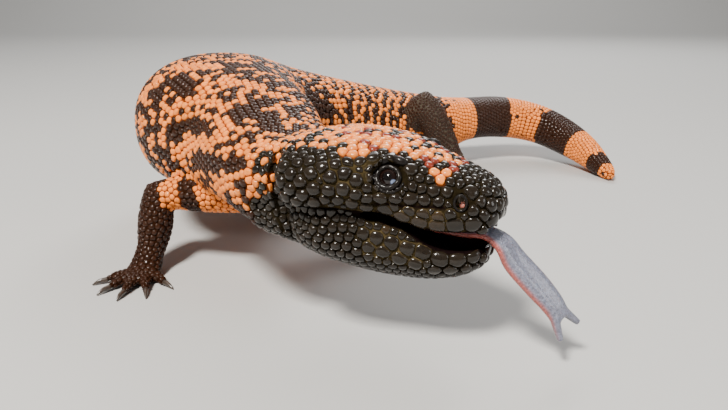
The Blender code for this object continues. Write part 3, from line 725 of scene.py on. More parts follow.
def crease_cheek(local, sign):
    """Both creases pressed into one side, only where the head is nearly as wide as it gets."""
    part = local.copy()
    gap = (part[:, 2] - crease_height(part[:, 0])) / CREASE_HALF
    wide = stations_at(HEAD_STATIONS, np.clip(part[:, 0], HEAD_STATIONS[0][0], HEAD_TIP))[0]
    outer = smoothstep(0.80, 0.92, sign * part[:, 1] / wide)
    reach = smoothstep(8.0, 12.0, part[:, 0]) * smoothstep(36.0, 33.0, part[:, 0]) * outer
    part[:, 1] -= sign * CREASE_DEPTH * reach * np.clip(1 - gap**2, 0.0, 1.0)
    gap = (part[:, 0] - jowl_place(part[:, 2])) / JOWL_HALF
    reach = smoothstep(0.55, 0.80, sign * part[:, 1] / wide) * smoothstep(15.0, 10.0, part[:, 2])
    part[:, 1] -= sign * JOWL_DEPTH * reach * np.clip(1 - gap**2, 0.0, 1.0)
    return part


SOLE_HEIGHT = 0.12


def carve_head(plan_points):
    """Swells brows and cheeks and sinks sockets, creases and nostrils, on both sides of the head's points."""
    local = into_head(plan_points)
    near = (local[:, 0] > 0.0) & (np.abs(local[:, 1]) < 40)
    part = local[near]
    for sign in SIDES:
        mirror = np.array([1.0, sign, 1.0])
        for centre, reach, push in HEAD_SWELLS:
            part = swell(part, mirror * centre, np.array(reach), mirror * push)
        part = sink_nostril(crease_cheek(sink_socket(part, sign), sign), sign)
    local[near] = part
    return from_head(local[:, 0], local[:, 1], local[:, 2])


skin_points = carve_head(points_of(skin))
skin_points[:, 2] = np.maximum(skin_points[:, 2], SOLE_HEIGHT)
skin.data.vertices.foreach_set("co", to_model(skin_points).ravel())
skin.data.update()
skin_tree = BVHTree.FromPolygons(skin_points.tolist(), [tuple(p.vertices) for p in skin.data.polygons])


def onto_skin(points):
    """The nearest point of the skin to each point, and the skin's normal there."""
    found = [skin_tree.find_nearest(p)[:2] for p in points.tolist()]
    return np.array([f[0][:] for f in found]), np.array([f[1][:] for f in found])


print("skin from", skin_points.min(0).round(1), "to", skin_points.max(0).round(1))

# %% [markdown]
# ## Where a point is on the body
#
# Size, height and colour of a scale depend on where it grows. On neck, trunk and tail that is the run along
# the body line and the angle round it. The nearest sample of the line gives a first guess, and the distance
# along its direction corrects it.

# %% Where a point is on the body
def body_coordinates(points):
    """Run of the nearest sample of the line, angle round it, and the distance as a share of the section."""
    samples = body_line.line[::2]
    nearest = np.empty(len(points), int)
    for start in range(0, len(points), 8000):
        part = points[start:start + 8000]
        nearest[start:start + 8000] = ((part[:, None] - samples[None]) ** 2).sum(-1).argmin(1)
    runs = body_line.run[::2][nearest]
    centre, _, _, forward, _ = body_line.at(runs)
    runs = np.clip(runs + ((points - centre) * forward).sum(-1), 0.0, body_line.length)
    centre, side, top, _, sizes = body_line.at(runs)
    off = points - centre
    across = (off * side).sum(-1) / sizes[:, 0]
    rise = (off * top).sum(-1)
    rise = rise / np.where(rise > 0, sizes[:, 1], sizes[:, 2])
    share = (np.abs(across) ** BODY_SQUARENESS + np.abs(rise) ** BODY_SQUARENESS) ** (1 / BODY_SQUARENESS)
    half = BODY_SQUARENESS / 2
    angle = np.arctan2(np.sign(rise) * np.abs(rise) ** half, np.sign(across) * np.abs(across) ** half)
    return runs, angle, share, sizes


print("the skin's first point lies at run", round(float(body_coordinates(skin_points[:1])[0][0]), 1), "mm")

# %% [markdown]
# ## Where a point is on a leg
#
# A leg is a chain of straight lines from its root to the tips of its toes. The line whose surface is nearest
# gives the place: 0 at the root, 1 at elbow or knee, 2 at wrist or ankle, and up to 3 at the tips. A point
# belongs to body, head or leg, whichever is nearest, with a little margin for the legs.

# %% Where a point is on a leg
LEG_NAMES = list(LEGS)


def from_segment(points, start, end):
    """Distance from a straight line between two places, and the share of the way along it."""
    way = end - start
    share = np.clip(((points - start) @ way) / (way @ way), 0.0, 1.0)
    return np.linalg.norm(points - start - share[:, None] * way, axis=1), share


def leg_chain(name):
    """The straight lines of a leg: two ends, a radius at each, the step at its start and its share."""
    root, elbow, wrist, radii = leg_lines[name]
    chain = [(root, elbow, radii[0], radii[1], 0.0, 1.0), (elbow, wrist, radii[1], radii[2], 1.0, 1.0),
             (wrist, foot_lines[name].line[-1], radii[2], 3.0, 2.0, 0.5)]
    return chain + [(toe.line[0], toe.line[-1], TOE_RADIUS, TOE_RADIUS, 2.5, 0.5) for toe in toe_lines[name]]


def leg_coordinates(points):
    """For the nearest leg its number, the steps along it, and the gap between point and surface."""
    best = np.full(len(points), 1e9)
    which, along = np.zeros(len(points), int), np.zeros(len(points))
    for number, name in enumerate(LEG_NAMES):
        for start, end, first, last, step, covers in leg_chain(name):
            distance, share = from_segment(points, start, end)
            gap = distance - first - (last - first) * share
            closer = gap < best
            best = np.where(closer, gap, best)
            which = np.where(closer, number, which)
            along = np.where(closer, step + share * covers, along)
    return which, along, best


BODY, HEAD, LEG = 0, 1, 2
LEG_CLAIM = 2.5


def describe(points):
    """Everything that size, height and colour are worked out from, as one dictionary of arrays."""
    runs, angle, share, sizes = body_coordinates(points)
    which, along, gap = leg_coordinates(points)
    local = into_head(points)
    body_gap = np.abs(share - 1.0) * sizes.mean(1)
    on_leg = (gap < LEG_CLAIM) & (gap < body_gap * 1.3 + 0.3)
    ahead = (points - nape) @ nape_way
    on_head = (ahead > 0) & (np.abs(local[:, 1]) < 32) & (local[:, 2] > -30) & (np.abs(gap) > 1.0)
    on_head &= np.linalg.norm(local, axis=1) < 72
    region = np.where(on_head, HEAD, np.where(on_leg, LEG, BODY))
    return dict(points=points, region=region, run=runs, share=runs / body_line.length, angle=angle,
                local=local, leg=which, along=along)


skin_about = describe(skin_points)
print("skin points on body, head and legs", np.bincount(skin_about["region"]).tolist())

# %% [markdown]
# ## Where scales grow, and how big
#
# No scale grows between the lips, in a socket or a nostril, nor under soles and belly where they rest. Beads
# are largest on cheeks and snout and smallest at eyes, throat and feet. The rule gives half the distance
# between scales in millimetres, with smooth steps from one part to the next.

# %% Where scales grow, and how big
MOUTH_BACK = 4.0
OPEN_LIP_BACK = 33.0
MOUTH_MARGIN = 0.2
SOCKET_CLEARANCE = 5.0
FLOOR_CLEARANCE = 0.5


def in_mouth(local):
    """True between palate and mouth floor, and in the open gap between the edges of the lips."""
    along, up = local[:, 0], local[:, 2]
    wide, lip, _ = stations_at(JAW_STATIONS, np.clip(along, -4, JAW_TIP))
    _, _, upper = stations_at(HEAD_STATIONS, np.clip(along, -4, HEAD_TIP))
    beside = np.abs(local[:, 1]) < 0.90 * wide + MOUTH_MARGIN
    between = (up < upper + PALATE_ARCH + MOUTH_MARGIN) & (up > lip - PALATE_ARCH - MOUTH_MARGIN)
    mouth = beside & between & (along > MOUTH_BACK) & (along < HEAD_TIP - 1.0)
    gap = (up < upper + 1.3) & (up > lip - 0.1) & (along > OPEN_LIP_BACK) & (along < JAW_TIP)
    return mouth | gap


def bears_scales(about):
    """False in the mouth, in the sockets and nostrils, and low down where soles and belly rest."""
    local = about["local"]
    head = about["region"] == HEAD
    inside = head & in_mouth(local)
    aside = np.stack([local[:, 0], np.abs(local[:, 1]), local[:, 2]], -1)
    for place, reach in ((EYE_PLACE, SOCKET_CLEARANCE), (NOSTRIL_PLACE, NOSTRIL_REACH)):
        inside |= head & (np.linalg.norm(aside - place, axis=1) < reach)
    return ~inside & (about["points"][:, 2] > FLOOR_CLEARANCE)


TRUNK_RADIUS = 1.36
TRUNK_GAIN = 0.12
TAIL_RADIUS = 1.18
FORELEG_RADIUS = 1.10
HINDLEG_RADIUS = 0.92
HEAD_RADIUS = 1.52
LID_RADIUS = 0.85


def body_radius(about):
    """A little larger behind the shoulders and on the belly, smaller on the tail."""
    share = about["share"]
    belly = smoothstep(-0.55, -0.85, np.sin(about["angle"]))
    body = (TRUNK_RADIUS + TRUNK_GAIN * smoothstep(0.08, 0.3, share) - 0.06 * smoothstep(0.66, 0.95, share)
            + 0.15 * belly)
    return np.where(share > TAIL_START, TAIL_RADIUS, body)


def leg_radius(about):
    """Smaller from the wrist on, and again on the toes."""
    leg = np.where(about["leg"] < 2, FORELEG_RADIUS, HINDLEG_RADIUS)
    return leg - 0.20 * smoothstep(1.6, 2.3, about["along"]) - 0.08 * smoothstep(2.4, 2.7, about["along"])


def head_radius(about):
    """Large on cheek, crown and snout, smaller at throat, jaw corner and nape, and smallest at the eye."""
    along, out, up = about["local"].T
    cheek = smoothstep(2.0, 7.0, along) * smoothstep(31.0, 27.0, along)
    cheek *= smoothstep(-5.0, 1.0, up) * smoothstep(13.5, 9.0, up)
    head = HEAD_RADIUS + 0.66 * cheek + 0.15 * smoothstep(11.0, 14.0, up)
    head -= 0.35 * smoothstep(-14.0, -21.0, up)
    head = np.where((up < -4.0) & (along < 14.0), 1.25, head)
    head = np.where(along < 4.5, 1.3, head)
    head += 0.35 * smoothstep(50.0, 54.0, along) * smoothstep(8.0, 4.0, up)
    eye = np.linalg.norm(np.stack([along, np.abs(out), up], -1) - EYE_PLACE, axis=1)
    return np.where(eye < 7.0, LID_RADIUS, head)


def radius_of_scale(about):
    """Half the pitch of the scales by the part on which they grow."""
    region = about["region"]
    return np.select([region == HEAD, region == LEG], [head_radius(about), leg_radius(about)],
                     body_radius(about))


print("largest scale radius", round(float(radius_of_scale(skin_about).max()), 2), "mm")

# %% [markdown]
# ## Rows round body and tail
#
# Real beads stand in rows round the body, closely packed. So rings of points are laid first, each at equal
# lengths round the section, and every other ring is turned by half a step, as bricks are laid.

# %% Rows round body and tail
ROW_SHARE = 0.88
FIRST_ROW = 1.2


def body_rows():
    """Rings of points at equal lengths round the section, every other ring turned by half a step."""
    rows, run, odd = [], FIRST_ROW, 0
    while run < body_line.length - 1.0:
        ring = body_points(np.full(241, run), np.linspace(-math.pi / 2, 1.5 * math.pi, 241))
        lengths = np.concatenate([[0.0], np.cumsum(np.linalg.norm(np.diff(ring, axis=0), axis=1))])
        pitch = 2 * (TRUNK_RADIUS + TRUNK_GAIN * smoothstep(0.08, 0.3, run / body_line.length))
        pitch = 2 * TAIL_RADIUS if run > TAIL_START * body_line.length else pitch
        count = max(5, round(lengths[-1] / pitch))
        steps = (np.arange(count) + 0.5 * odd) / count * lengths[-1]
        rows.append(np.stack([np.interp(steps, lengths, column) for column in ring.T], -1))
        run, odd = run + ROW_SHARE * pitch, 1 - odd
    return np.vstack(rows)


row_points = body_rows()
print("row points", len(row_points))

# %% [markdown]
# ## Plates of lips and brows
#
# Lips and brows bear large plates in fixed places, so these are set before the beads and stay put. The upper
# lip has one row of tall flat plates, and small six-sided ones above it. The lower lip has fine beads at its
# edge and large round plates below. Ghosts are places too: they hold room free and bear no scale.

# %% Plates of lips and brows
GHOST, PLATE, BEAD = 0, 1, 2
UPPER, LOWER = 1.0, -1.0
special_points, special_radii, special_kinds, special_heights = [], [], [], []


def set_plates(points, radius, kind, height=0.36):
    """Keeps fixed plates, or ghosts, with their radius and their height as a share of it."""
    points = np.atleast_2d(points)
    special_points.append(points)
    special_radii.append(np.full(len(points), radius))
    special_kinds.append(np.full(len(points), kind))
    special_heights.append(np.full(len(points), height))


def set_side_plates(rows, kind=PLATE, share=0.3, jaw=False):
    """Plates on both sides, from rows of place along, height and radius. Stations give the half width."""
    along, up, radius = np.array(rows).T
    wide = stations_at(JAW_STATIONS if jaw else HEAD_STATIONS, along)[0]
    for sign in SIDES:
        for point, size in zip(from_head(along, sign * wide, up), radius):
            set_plates(point, size, kind, share)


def set_pair(along, out, up, radius, share):
    """One plate on each side, at so much along, out from the middle and up."""
    for sign in SIDES:
        set_plates(from_head(np.array(along), sign * out, up), radius, PLATE, share)


# rows of place along the head, height and radius
UPPER_LIP = ((36.0, -1.2, 2.2), (40.4, -3.0, 2.3), (45.0, -4.3, 2.35), (49.6, -4.9, 2.4), (54.3, -4.3, 2.6),
             (58.9, -3.7, 2.6))
ABOVE_LIP = ((38.4, 0.3, 1.5), (42.2, -0.6, 1.75), (46.0, -1.2, 1.75), (49.8, -1.7, 1.75))
JAW_EDGE = ((22.0, -3.2), (24.3, -3.2), (26.6, -3.5), (28.9, -4.0), (31.2, -4.6), (33.5, -5.0), (35.7, -5.6),
            (37.9, -6.4), (40.0, -7.2), (42.0, -8.6))
EDGE_RADIUS = 1.15
JAW_ROUND = ((29.6, -8.2, 1.9), (33.2, -9.3, 2.1), (37.2, -10.6, 2.3), (41.4, -12.0, 2.4), (35.0, -13.5, 2.1),
             (39.3, -15.4, 2.3), (43.8, -16.8, 2.2), (31.0, -12.3, 1.8))
JAW_FRONT = ((45.6, -13.0, 2.5), (50.2, -14.8, 2.7), (54.8, -14.9, 2.7), (58.8, -14.2, 2.5),
             (48.6, -19.2, 2.2), (53.4, -19.4, 2.2))
UNDER_EYE = ((31.6, 2.6, 1.75), (35.2, 2.9, 1.85), (38.9, 3.1, 1.85), (42.6, 3.1, 1.85), (46.3, 3.0, 1.8),
             (49.8, 2.7, 1.6))
BEHIND_LIP = ((20.5, 1.4, 1.8), (24.0, 1.3, 1.85), (27.6, 0.3, 1.85), (31.4, -0.9, 1.85))
# place along, distance from the middle, height and radius
BROW_AND_SNOUT = ((31.0, 15.4, 13.6, 1.9), (35.4, 12.8, 14.2, 1.9), (41.2, 13.0, 10.8, 2.3),
                  (47.8, 13.2, 5.2, 1.9), (57.3, 9.2, 5.4, 2.5), (61.4, 6.0, 0.9, 2.3))

set_side_plates(UPPER_LIP, share=0.24)
set_side_plates(ABOVE_LIP, share=0.34)
set_pair(62.4, 5.6, -3.3, 2.5, 0.24)
set_plates(from_head(np.array(64.0), 0.0, -3.0), 2.5, PLATE, 0.24)
set_side_plates([(along, up - 0.9, EDGE_RADIUS) for along, up in JAW_EDGE], share=0.42, jaw=True)
set_side_plates(JAW_ROUND, share=0.42, jaw=True)
set_side_plates(JAW_FRONT, share=0.22, jaw=True)
set_plates(from_head(np.array(61.5), 0.0, -13.8), 2.5, PLATE, 0.22)
for along, out, up, radius in BROW_AND_SNOUT:
    set_pair(along, out, up, radius, 0.44)
print("plates of lips, brows and snout", len(np.vstack(special_points)))

# %% [markdown]
# ## Ghosts of mouth, eyes and nostrils
#
# No scale may grow between the lips or in the mouth's crease, so a line of ghosts runs round inside each lip,
# and one along each crease. Rings of them keep the beads off eyeball, lids and nostrils. An eye's ring is an
# ellipse in the eye's own plane.

# %% Ghosts of mouth, eyes and nostrils
LIP_RISE = -0.6
LIP_STEP = 1.8
CREASE_GHOST = 0.85
FOLD_HEIGHT = 0.95


def evenly(points, pitch):
    """Points at equal steps along a line of points, an odd number of them so that one lies at its middle."""
    lengths = np.concatenate([[0.0], np.cumsum(np.linalg.norm(np.diff(points, axis=0), axis=1))])
    count = round(lengths[-1] / pitch)
    count += count % 2 == 0
    steps = np.linspace(0.0, lengths[-1], count)
    return np.stack([np.interp(steps, lengths, column) for column in points.T], -1)


def lip_line(which, back, tip, inward):
    """A line from the right cheek round the snout to the left one, a little inside the lip's edge."""
    places = np.linspace(back, tip, 60)
    if which == UPPER:
        wide, _, edge = stations_at(HEAD_STATIONS, places)
    else:
        wide, edge, _ = stations_at(JAW_STATIONS, places)
    height = edge + which * LIP_RISE
    leftward = np.concatenate([inward - wide, (wide - inward)[::-1]])
    both, height = np.concatenate([places, places[::-1]]), np.concatenate([height, height[::-1]])
    return from_head(turned_with_nape(both, leftward), leftward, height)


set_plates(evenly(lip_line(UPPER, OPEN_LIP_BACK, 62.0, 4.2), LIP_STEP), 0.5, GHOST)
set_plates(evenly(lip_line(LOWER, OPEN_LIP_BACK, 58.5, 3.6), LIP_STEP), 0.5, GHOST)
crease_places = np.arange(10.0, 34.0, 1.2)
crease_sides = stations_at(HEAD_STATIONS, crease_places)[0] - CREASE_DEPTH
for sign in SIDES:
    crease_line = from_head(crease_places, sign * crease_sides, crease_height(crease_places))
    set_plates(crease_line, CREASE_GHOST, GHOST)
set_side_plates(UNDER_EYE, share=0.52)
set_side_plates(BEHIND_LIP, share=0.52)
set_side_plates([(along, FOLD_HEIGHT, 0.34) for along in np.arange(33.5, 52.0, 1.2)], GHOST)

# reach ahead and upward, step in degrees, radius of the ghosts
EYE_GHOSTS = (((2.0, 1.8), 40, 0.9), ((3.7, 3.6), 24, 0.75), ((4.8, 4.5), 15, 0.65))


def eye_ring(sign, reaches, degrees, height=2.6):
    """Points round an eye in its own plane: forward times cosine plus upward times sine."""
    centre, ahead, rise, outward = eye_axes(sign)
    angle = np.radians(np.asarray(degrees, float))[:, None]
    spot = centre + height * outward + reaches[0] * np.cos(angle) * ahead + reaches[1] * np.sin(angle) * rise
    return from_head(spot[:, 0], spot[:, 1], spot[:, 2])


for sign in SIDES:
    for reaches_of_ring, step, radius in EYE_GHOSTS:
        set_plates(eye_ring(sign, reaches_of_ring, np.arange(0, 360, step)), radius, GHOST)
    set_plates(from_head(np.array(NOSTRIL_PLACE[0]), sign * NOSTRIL_PLACE[1], NOSTRIL_PLACE[2]), 1.3, GHOST)
    turn = 2 * math.pi * np.arange(10) / 10
    set_plates(from_head(NOSTRIL_PLACE[0] + 1.7 * np.cos(turn), np.full(10, sign * NOSTRIL_PLACE[1]),
                         NOSTRIL_PLACE[2] + 2.2 * np.sin(turn)), 0.55, GHOST)
special = np.vstack(special_points)
print("lip, brow and rim places", len(special))

# %% [markdown]
# ## Seeds of the scales
#
# Special places come first, then the rows, then points of the skin in a random order. A new scale may only
# grow where nothing kept is too near, so short rows end on the outside of a bend, as on the real animal. Kept
# scales are sorted into a grid of cells wider than any scale, so only 27 cells have to be asked.

# %% Seeds of the scales
CELL = 2 * 2.75
CELLS_ROUND = [(a, b, c) for a in (-1, 0, 1) for b in (-1, 0, 1) for c in (-1, 0, 1)]


def has_room(point, radius, closeness, cell, grid):
    """True if everything kept nearby is farther than closeness times the sum of both radii."""
    x, y, z = point
    for a, b, c in CELLS_ROUND:
        for u, v, w, other in grid.get((cell[0] + a, cell[1] + b, cell[2] + c), ()):
            if (x - u) ** 2 + (y - v) ** 2 + (z - w) ** 2 < (closeness * (radius + other)) ** 2:
                return False
    return True


def keep_apart(points, radii, sure, closeness, grid):
    """Takes points in turn, keeps each that is sure or has room, and enters it in the grid."""
    kept = []
    for index, point in enumerate(points.tolist()):
        cell = tuple(int(value // CELL) for value in point)
        if sure or has_room(point, radii[index], closeness[index], cell, grid):
            grid.setdefault(cell, []).append((*point, radii[index]))
            kept.append(index)
    return np.array(kept, int)


def tree_of(points):
    """A tree that finds the nearest of these points."""
    tree = KDTree(len(points))
    for index, point in enumerate(points.tolist()):
        tree.insert(point, index)
    tree.balance()
    return tree


def neighbours(points, count):
    """Numbers of the nearest other points of each point."""
    tree = tree_of(points)
    return np.array([[found[1] for found in tree.find_n(point, count + 1)[1:]] for point in points.tolist()])


LATTICE_CLOSENESS = 0.80
FILL_CLOSENESS = 0.79
HEAD_CLOSENESS = 0.72

special, _ = onto_skin(special)
special_radius = np.concatenate(special_radii)
row_points, _ = onto_skin(row_points)
row_about = describe(row_points)
good = (row_about["region"] == BODY) & bears_scales(row_about)
row_points, row_radius = row_points[good], radius_of_scale(row_about)[good]
good = np.flatnonzero(bears_scales(skin_about))
chance.shuffle(good)
fill_points, fill_radius = skin_points[good], radius_of_scale(skin_about)[good]

grid = {}
closeness = np.where(skin_about["region"][good] == HEAD, HEAD_CLOSENESS, FILL_CLOSENESS)
keep_apart(special, special_radius, True, np.ones(len(special)), grid)
rows_kept = keep_apart(row_points, row_radius, False, np.full(len(row_points), LATTICE_CLOSENESS), grid)
fill_kept = keep_apart(fill_points, fill_radius, False, closeness, grid)
places = np.vstack([special, row_points[rows_kept], fill_points[fill_kept]])
radii = np.concatenate([special_radius, row_radius[rows_kept], fill_radius[fill_kept]])
seeded = len(rows_kept) + len(fill_kept)
kinds = np.concatenate([*special_kinds, np.full(seeded, BEAD)])
rise_shares = np.concatenate([*special_heights, np.zeros(seeded)])
print("special", len(special), "rows", len(rows_kept), "let in", len(fill_kept))

# %% [markdown]
# ## Pushed apart
#
# All beads push their neighbours off where they overlap, sixteen times over, and slide on the skin until they
# lie evenly. Plates and ghosts don't move. Then small beads fill what is left between the head's large
# plates: first middling ones, then the smallest.

# %% Pushed apart
PUSHES = 16
PUSH_STRENGTH = 0.30
ROOM = 1.01

free = (kinds == BEAD)[:, None]
normals = onto_skin(places)[1]
for step in range(PUSHES):
    near = neighbours(places, 8)
    apart = places[:, None] - places[near]
    distance = np.linalg.norm(apart, axis=-1)
    overlap = np.maximum(0.0, ROOM * (radii[:, None] + radii[near]) - distance)
    push = (apart / np.maximum(distance, 1e-6)[..., None] * overlap[..., None]).sum(1) * PUSH_STRENGTH
    push -= (push * normals).sum(-1, keepdims=True) * normals
    places, normals = onto_skin(places + push * free)
stays = (kinds != BEAD) | bears_scales(describe(places))
places, radii, kinds, normals, rise_shares = (v[stays] for v in (places, radii, kinds, normals, rise_shares))

GAP_BEADS = (1.25, 0.85)
GAP_CLOSENESS = 0.90

grid = {}
keep_apart(places, radii, True, np.ones(len(places)), grid)
gaps = good[skin_about["region"][good] == HEAD]
for size in GAP_BEADS:
    found = gaps[keep_apart(skin_points[gaps], np.full(len(gaps), size), False,
                            np.full(len(gaps), GAP_CLOSENESS), grid)]
    extra, extra_normals = onto_skin(skin_points[found])
    places, normals = np.vstack([places, extra]), np.vstack([normals, extra_normals])
    radii = np.concatenate([radii, np.full(len(found), size)])
    kinds = np.concatenate([kinds, np.full(len(found), BEAD)])
    rise_shares = np.concatenate([rise_shares, np.zeros(len(found))])
    print("gap beads of", size, "mm:", len(found))
about = describe(places)
print("scales and ghosts", len(places))

# %% [markdown]
# ## Colours
#
# A gila monster's beads are either salmon or black, hardly ever between, and the skin in the seams is darker
# than the beads. On the side of the head the seams are pale. Colours are linear red, green and blue.

# %% Colours
SALMON = np.array([0.86, 0.245, 0.040])
SALMON_SEAM = np.array([0.24, 0.045, 0.010])
BLACK = np.array([0.030, 0.0115, 0.006])
BLACK_SEAM = np.array([0.026, 0.009, 0.004])
HEAD_BLACK = np.array([0.014, 0.010, 0.0065])
LIP_BROWN = np.array([0.034, 0.021, 0.010])
CROWN_RED = np.array([0.19, 0.030, 0.016])
PALE_SEAM = np.array([0.25, 0.18, 0.075])
DULL_SEAM = np.array([0.028, 0.020, 0.011])
HIND_SEAM = np.array([0.105, 0.085, 0.062])
# painted shade: near black for the mouth's inside, the cheek's crease and the line under the fold
MOUTH_SHADE_BLACK = np.array([0.006, 0.003, 0.003])
print("salmon is", round(float(SALMON.sum() / BLACK.sum())), "times as bright as black")

# %% [markdown]
# ## Markings of flanks, back and hips
#
# On the flanks salmon lies in blocks with black rows between them. On the back it forms bars with short
# dashes between, and round the hips thin black lines run aslant. Each rule divides run and arc into cells and
# throws a die for each. A few blocks that catch the eye stand where the photograph has them, and each is a
# thick line between two places.

# %% Markings of flanks, back and hips
BLOCK_LENGTH = 7.6
BLOCK_BREADTH = 12.5
BAR_PITCH = 11.0
DASH_PITCH = 5.6
LINE_PITCH = 7.2
DICE = 64
dice = chance.random((DICE, DICE, 4))


def cell_of(place):
    """The number of the cell that a place lies in, and how far into the cell it is."""
    return np.floor(place).astype(int) % DICE, place % 1.0


def blocks(run, arc):
    """Salmon blocks on a lattice of runs and arcs, with one or two black rows between them."""
    column, across = cell_of(run / BLOCK_LENGTH + 0.20 * np.sin(arc / 13.0 + 1.3) + 0.10 * np.sin(arc / 4.1))
    row, down = cell_of((arc + dice[column, 0, 0] * BLOCK_BREADTH + 1.4 * np.sin(run / 2.9)) / BLOCK_BREADTH)
    luck = dice[column, row]
    black = across < np.where(luck[:, 0] < 0.12, 0.0, 0.30 + 0.22 * luck[:, 3])
    black |= down < 0.20 + 0.24 * luck[:, 1]
    return ~black ^ (luck[:, 2] < 0.08)


def bars_and_dashes(run, arc):
    """Salmon bars along the body, and between two bars short black dashes across it."""
    band, in_band = cell_of((arc + 2.2 * np.sin(run / 17.0) + 1.1 * np.sin(run / 5.3)) / BAR_PITCH)
    dash_cell, in_dash = cell_of(run / DASH_PITCH + dice[band, 1, 1] + 0.16 * np.sin(arc / 3.1))
    luck = dice[band, dash_cell]
    bar = (in_band < 0.30) & (luck[:, 0] > 0.34)
    dash = (in_dash < 0.56) | (luck[:, 1] < 0.18) | ((in_band < 0.52) & (luck[:, 2] < 0.55))
    return bar | ((in_band >= 0.30) & ~dash)


def rump_lines(run, arc):
    """Salmon with thin black lines that run aslant round the hips, a few of them broken."""
    line, in_line = cell_of((run + 0.35 * arc + 1.1 * np.sin(arc / 6.0)) / LINE_PITCH)
    luck = dice[line, cell_of(arc / 11.0)[0]]
    return (in_line > 0.45) | (luck[:, 0] < 0.08)


ARC_RADIUS = 33.0
SALMON_BLOCK_SHARE = 0.82
# first place, last place, half width in mm, salmon or black
KNOWN_BLOCKS = (
    ((0.142, 55.0), (0.105, 88.0), 3.2, True), ((0.205, 60.0), (0.165, 78.0), 3.4, True),
    ((0.160, 24.0), (0.075, 60.0), 2.7, True), ((0.078, 38.0), (0.052, 48.0), 4.6, True),
    ((0.140, 12.0), (0.072, 32.0), 4.2, False), ((0.130, -2.0), (0.052, 20.0), 3.4, True),
    ((0.085, -6.0), (0.030, 12.0), 4.2, False), ((0.038, 20.0), (0.028, 27.0), 3.2, True),
    ((0.030, -14.0), (0.012, 8.0), 3.6, True), ((0.155, -31.0), (0.085, -16.0), 3.4, True),
    ((0.020, -60.0), (0.020, -34.0), 7.0, False), ((0.180, 36.0), (0.172, 64.0), 1.4, False),
    ((0.290, 158.0), (0.385, 163.0), 6.0, False), ((0.045, 60.0), (0.075, 96.0), 1.5, False),
    ((0.215, 20.0), (0.195, 48.0), 3.0, True), ((0.020, 34.0), (0.000, 60.0), 2.6, True),
)


def near_block(arc, run, start, end, half_width):
    """True within half a width of the straight line between two places, in millimetres along and round."""
    scale = np.array([body_line.length, ARC_RADIUS * math.pi / 180])
    first, last = scale * start, scale * end
    spot, way = np.stack([run, arc], -1) - first, last - first
    part = np.clip(spot @ way / (way @ way), 0.0, 1.0)
    return np.linalg.norm(spot - part[:, None] * way, axis=1) < half_width


print("known blocks", len(KNOWN_BLOCKS))

# %% [markdown]
# ## Body, head and legs in salmon and black
#
# Now each part gets its rule. The tail is banded, the crown is a tongue of salmon that narrows between the
# brows, upper arms are salmon but for a black band, and lower legs and feet are black.

# %% Body, head and legs in salmon and black
HIPS_START = 0.44
TAIL_BANDS = (0.665, 0.709, 0.776, 0.838, 0.903, 0.953, 0.976)
CROWN_PLACES = (-5.0, 3.0, 20.0, 27.0, 29.5, 32.0, 40.0, 45.0, 50.0)
CROWN_HALVES = (26.0, 17.0, 17.5, 17.5, 13.5, 10.0, 8.6, 5.6, 2.0)
ARM_BAND = (0.56, 0.72)


def body_salmon(run, angle):
    """True for salmon: blocks on the flanks, bars and dashes on the back, lines on the hips, then bands."""
    arc, share = ARC_RADIUS * angle, run / body_line.length
    flank = np.sin(angle) < 0.42 + 0.10 * np.sin(run / 7.0)
    salmon = np.where(flank, blocks(run, arc), bars_and_dashes(run, arc))
    hips = share + 0.012 * np.sin(arc / 9.0) > HIPS_START
    salmon = np.where(hips, rump_lines(run, arc), salmon)
    salmon ^= chance.random(len(run)) < 0.06
    turned = ARC_RADIUS * np.where(angle < -math.pi * 0.6, angle + 2 * math.pi, angle)
    for start, end, half_width, is_salmon in KNOWN_BLOCKS:
        size = half_width * (SALMON_BLOCK_SHARE if is_salmon else 1.0)
        inside = near_block(turned, run, start, end, size + chance.normal(0.0, 0.25, len(run)))
        salmon = np.where(inside, is_salmon, salmon)
    band = np.searchsorted(TAIL_BANDS, share + chance.normal(0.0, 0.0007, len(run)))
    odd = chance.random(len(run)) < 0.012
    return np.where(share > TAIL_BANDS[0], (band % 2 == 1) ^ odd, salmon)


def head_salmon(about):
    """True on the crown's tongue and on a patch on the bridge, and by the body's rule behind the jowl."""
    along, aside, up = about["local"][:, 0], np.abs(about["local"][:, 1]), about["local"][:, 2]
    crown = (aside < np.interp(along, CROWN_PLACES, CROWN_HALVES)) & (up > 7.5) & (along < 50.0)
    bridge = (np.hypot((along - 47.8) / 3.3, (aside - 9.4) / 2.5) < 1.0) & (up > 4.0)
    luck = chance.random(len(along))
    behind = along < jowl_place(up) - 0.6
    neck = body_salmon(np.where(behind, HEAD_BACK - along, 0.0), about["angle"]) & (up > -3.0)
    return np.where(behind, neck, (crown & (luck > 0.36)) | (bridge & (luck > 0.15)))


def leg_salmon(about):
    """True on the upper arms but for a black band, and on the thighs. Lower legs and feet are black."""
    fore, along = about["leg"] < 2, about["along"]
    upper_arm = fore & (along < 0.93) & ~((along > ARM_BAND[0]) & (along < ARM_BAND[1]))
    return upper_arm | (~fore & (along < 0.60) & (chance.random(len(along)) > 0.25))


print("bands on the tail", len(TAIL_BANDS))

# %% [markdown]
# ## A colour for each scale and its seam
#
# No two beads are quite alike, so a little luck makes each lighter or darker. Some plates of the crown are
# dark red, the lip is brown, and the seams are pale below the eye and along the jaw.

# %% A colour for each scale and its seam
def paint_where(mask, colour, colours):
    """The colour where the mask is true, and what was there before elsewhere."""
    return np.where(mask[:, None], colour, colours)


def paleness(along, up):
    """How pale the head's seams are: most at the cheek's front and the jaw, none under the throat."""
    pale = (0.60 * smoothstep(16, 24, along) * smoothstep(33, 29, along) * smoothstep(-3, 1, up)
            + 0.9 * smoothstep(2, -1, up) * smoothstep(27, 31, along) * smoothstep(58, 50, along) + 0.12)
    return np.where((up < -11.0) & (along > 46), 0.06, pale) * smoothstep(-22, -16, up)


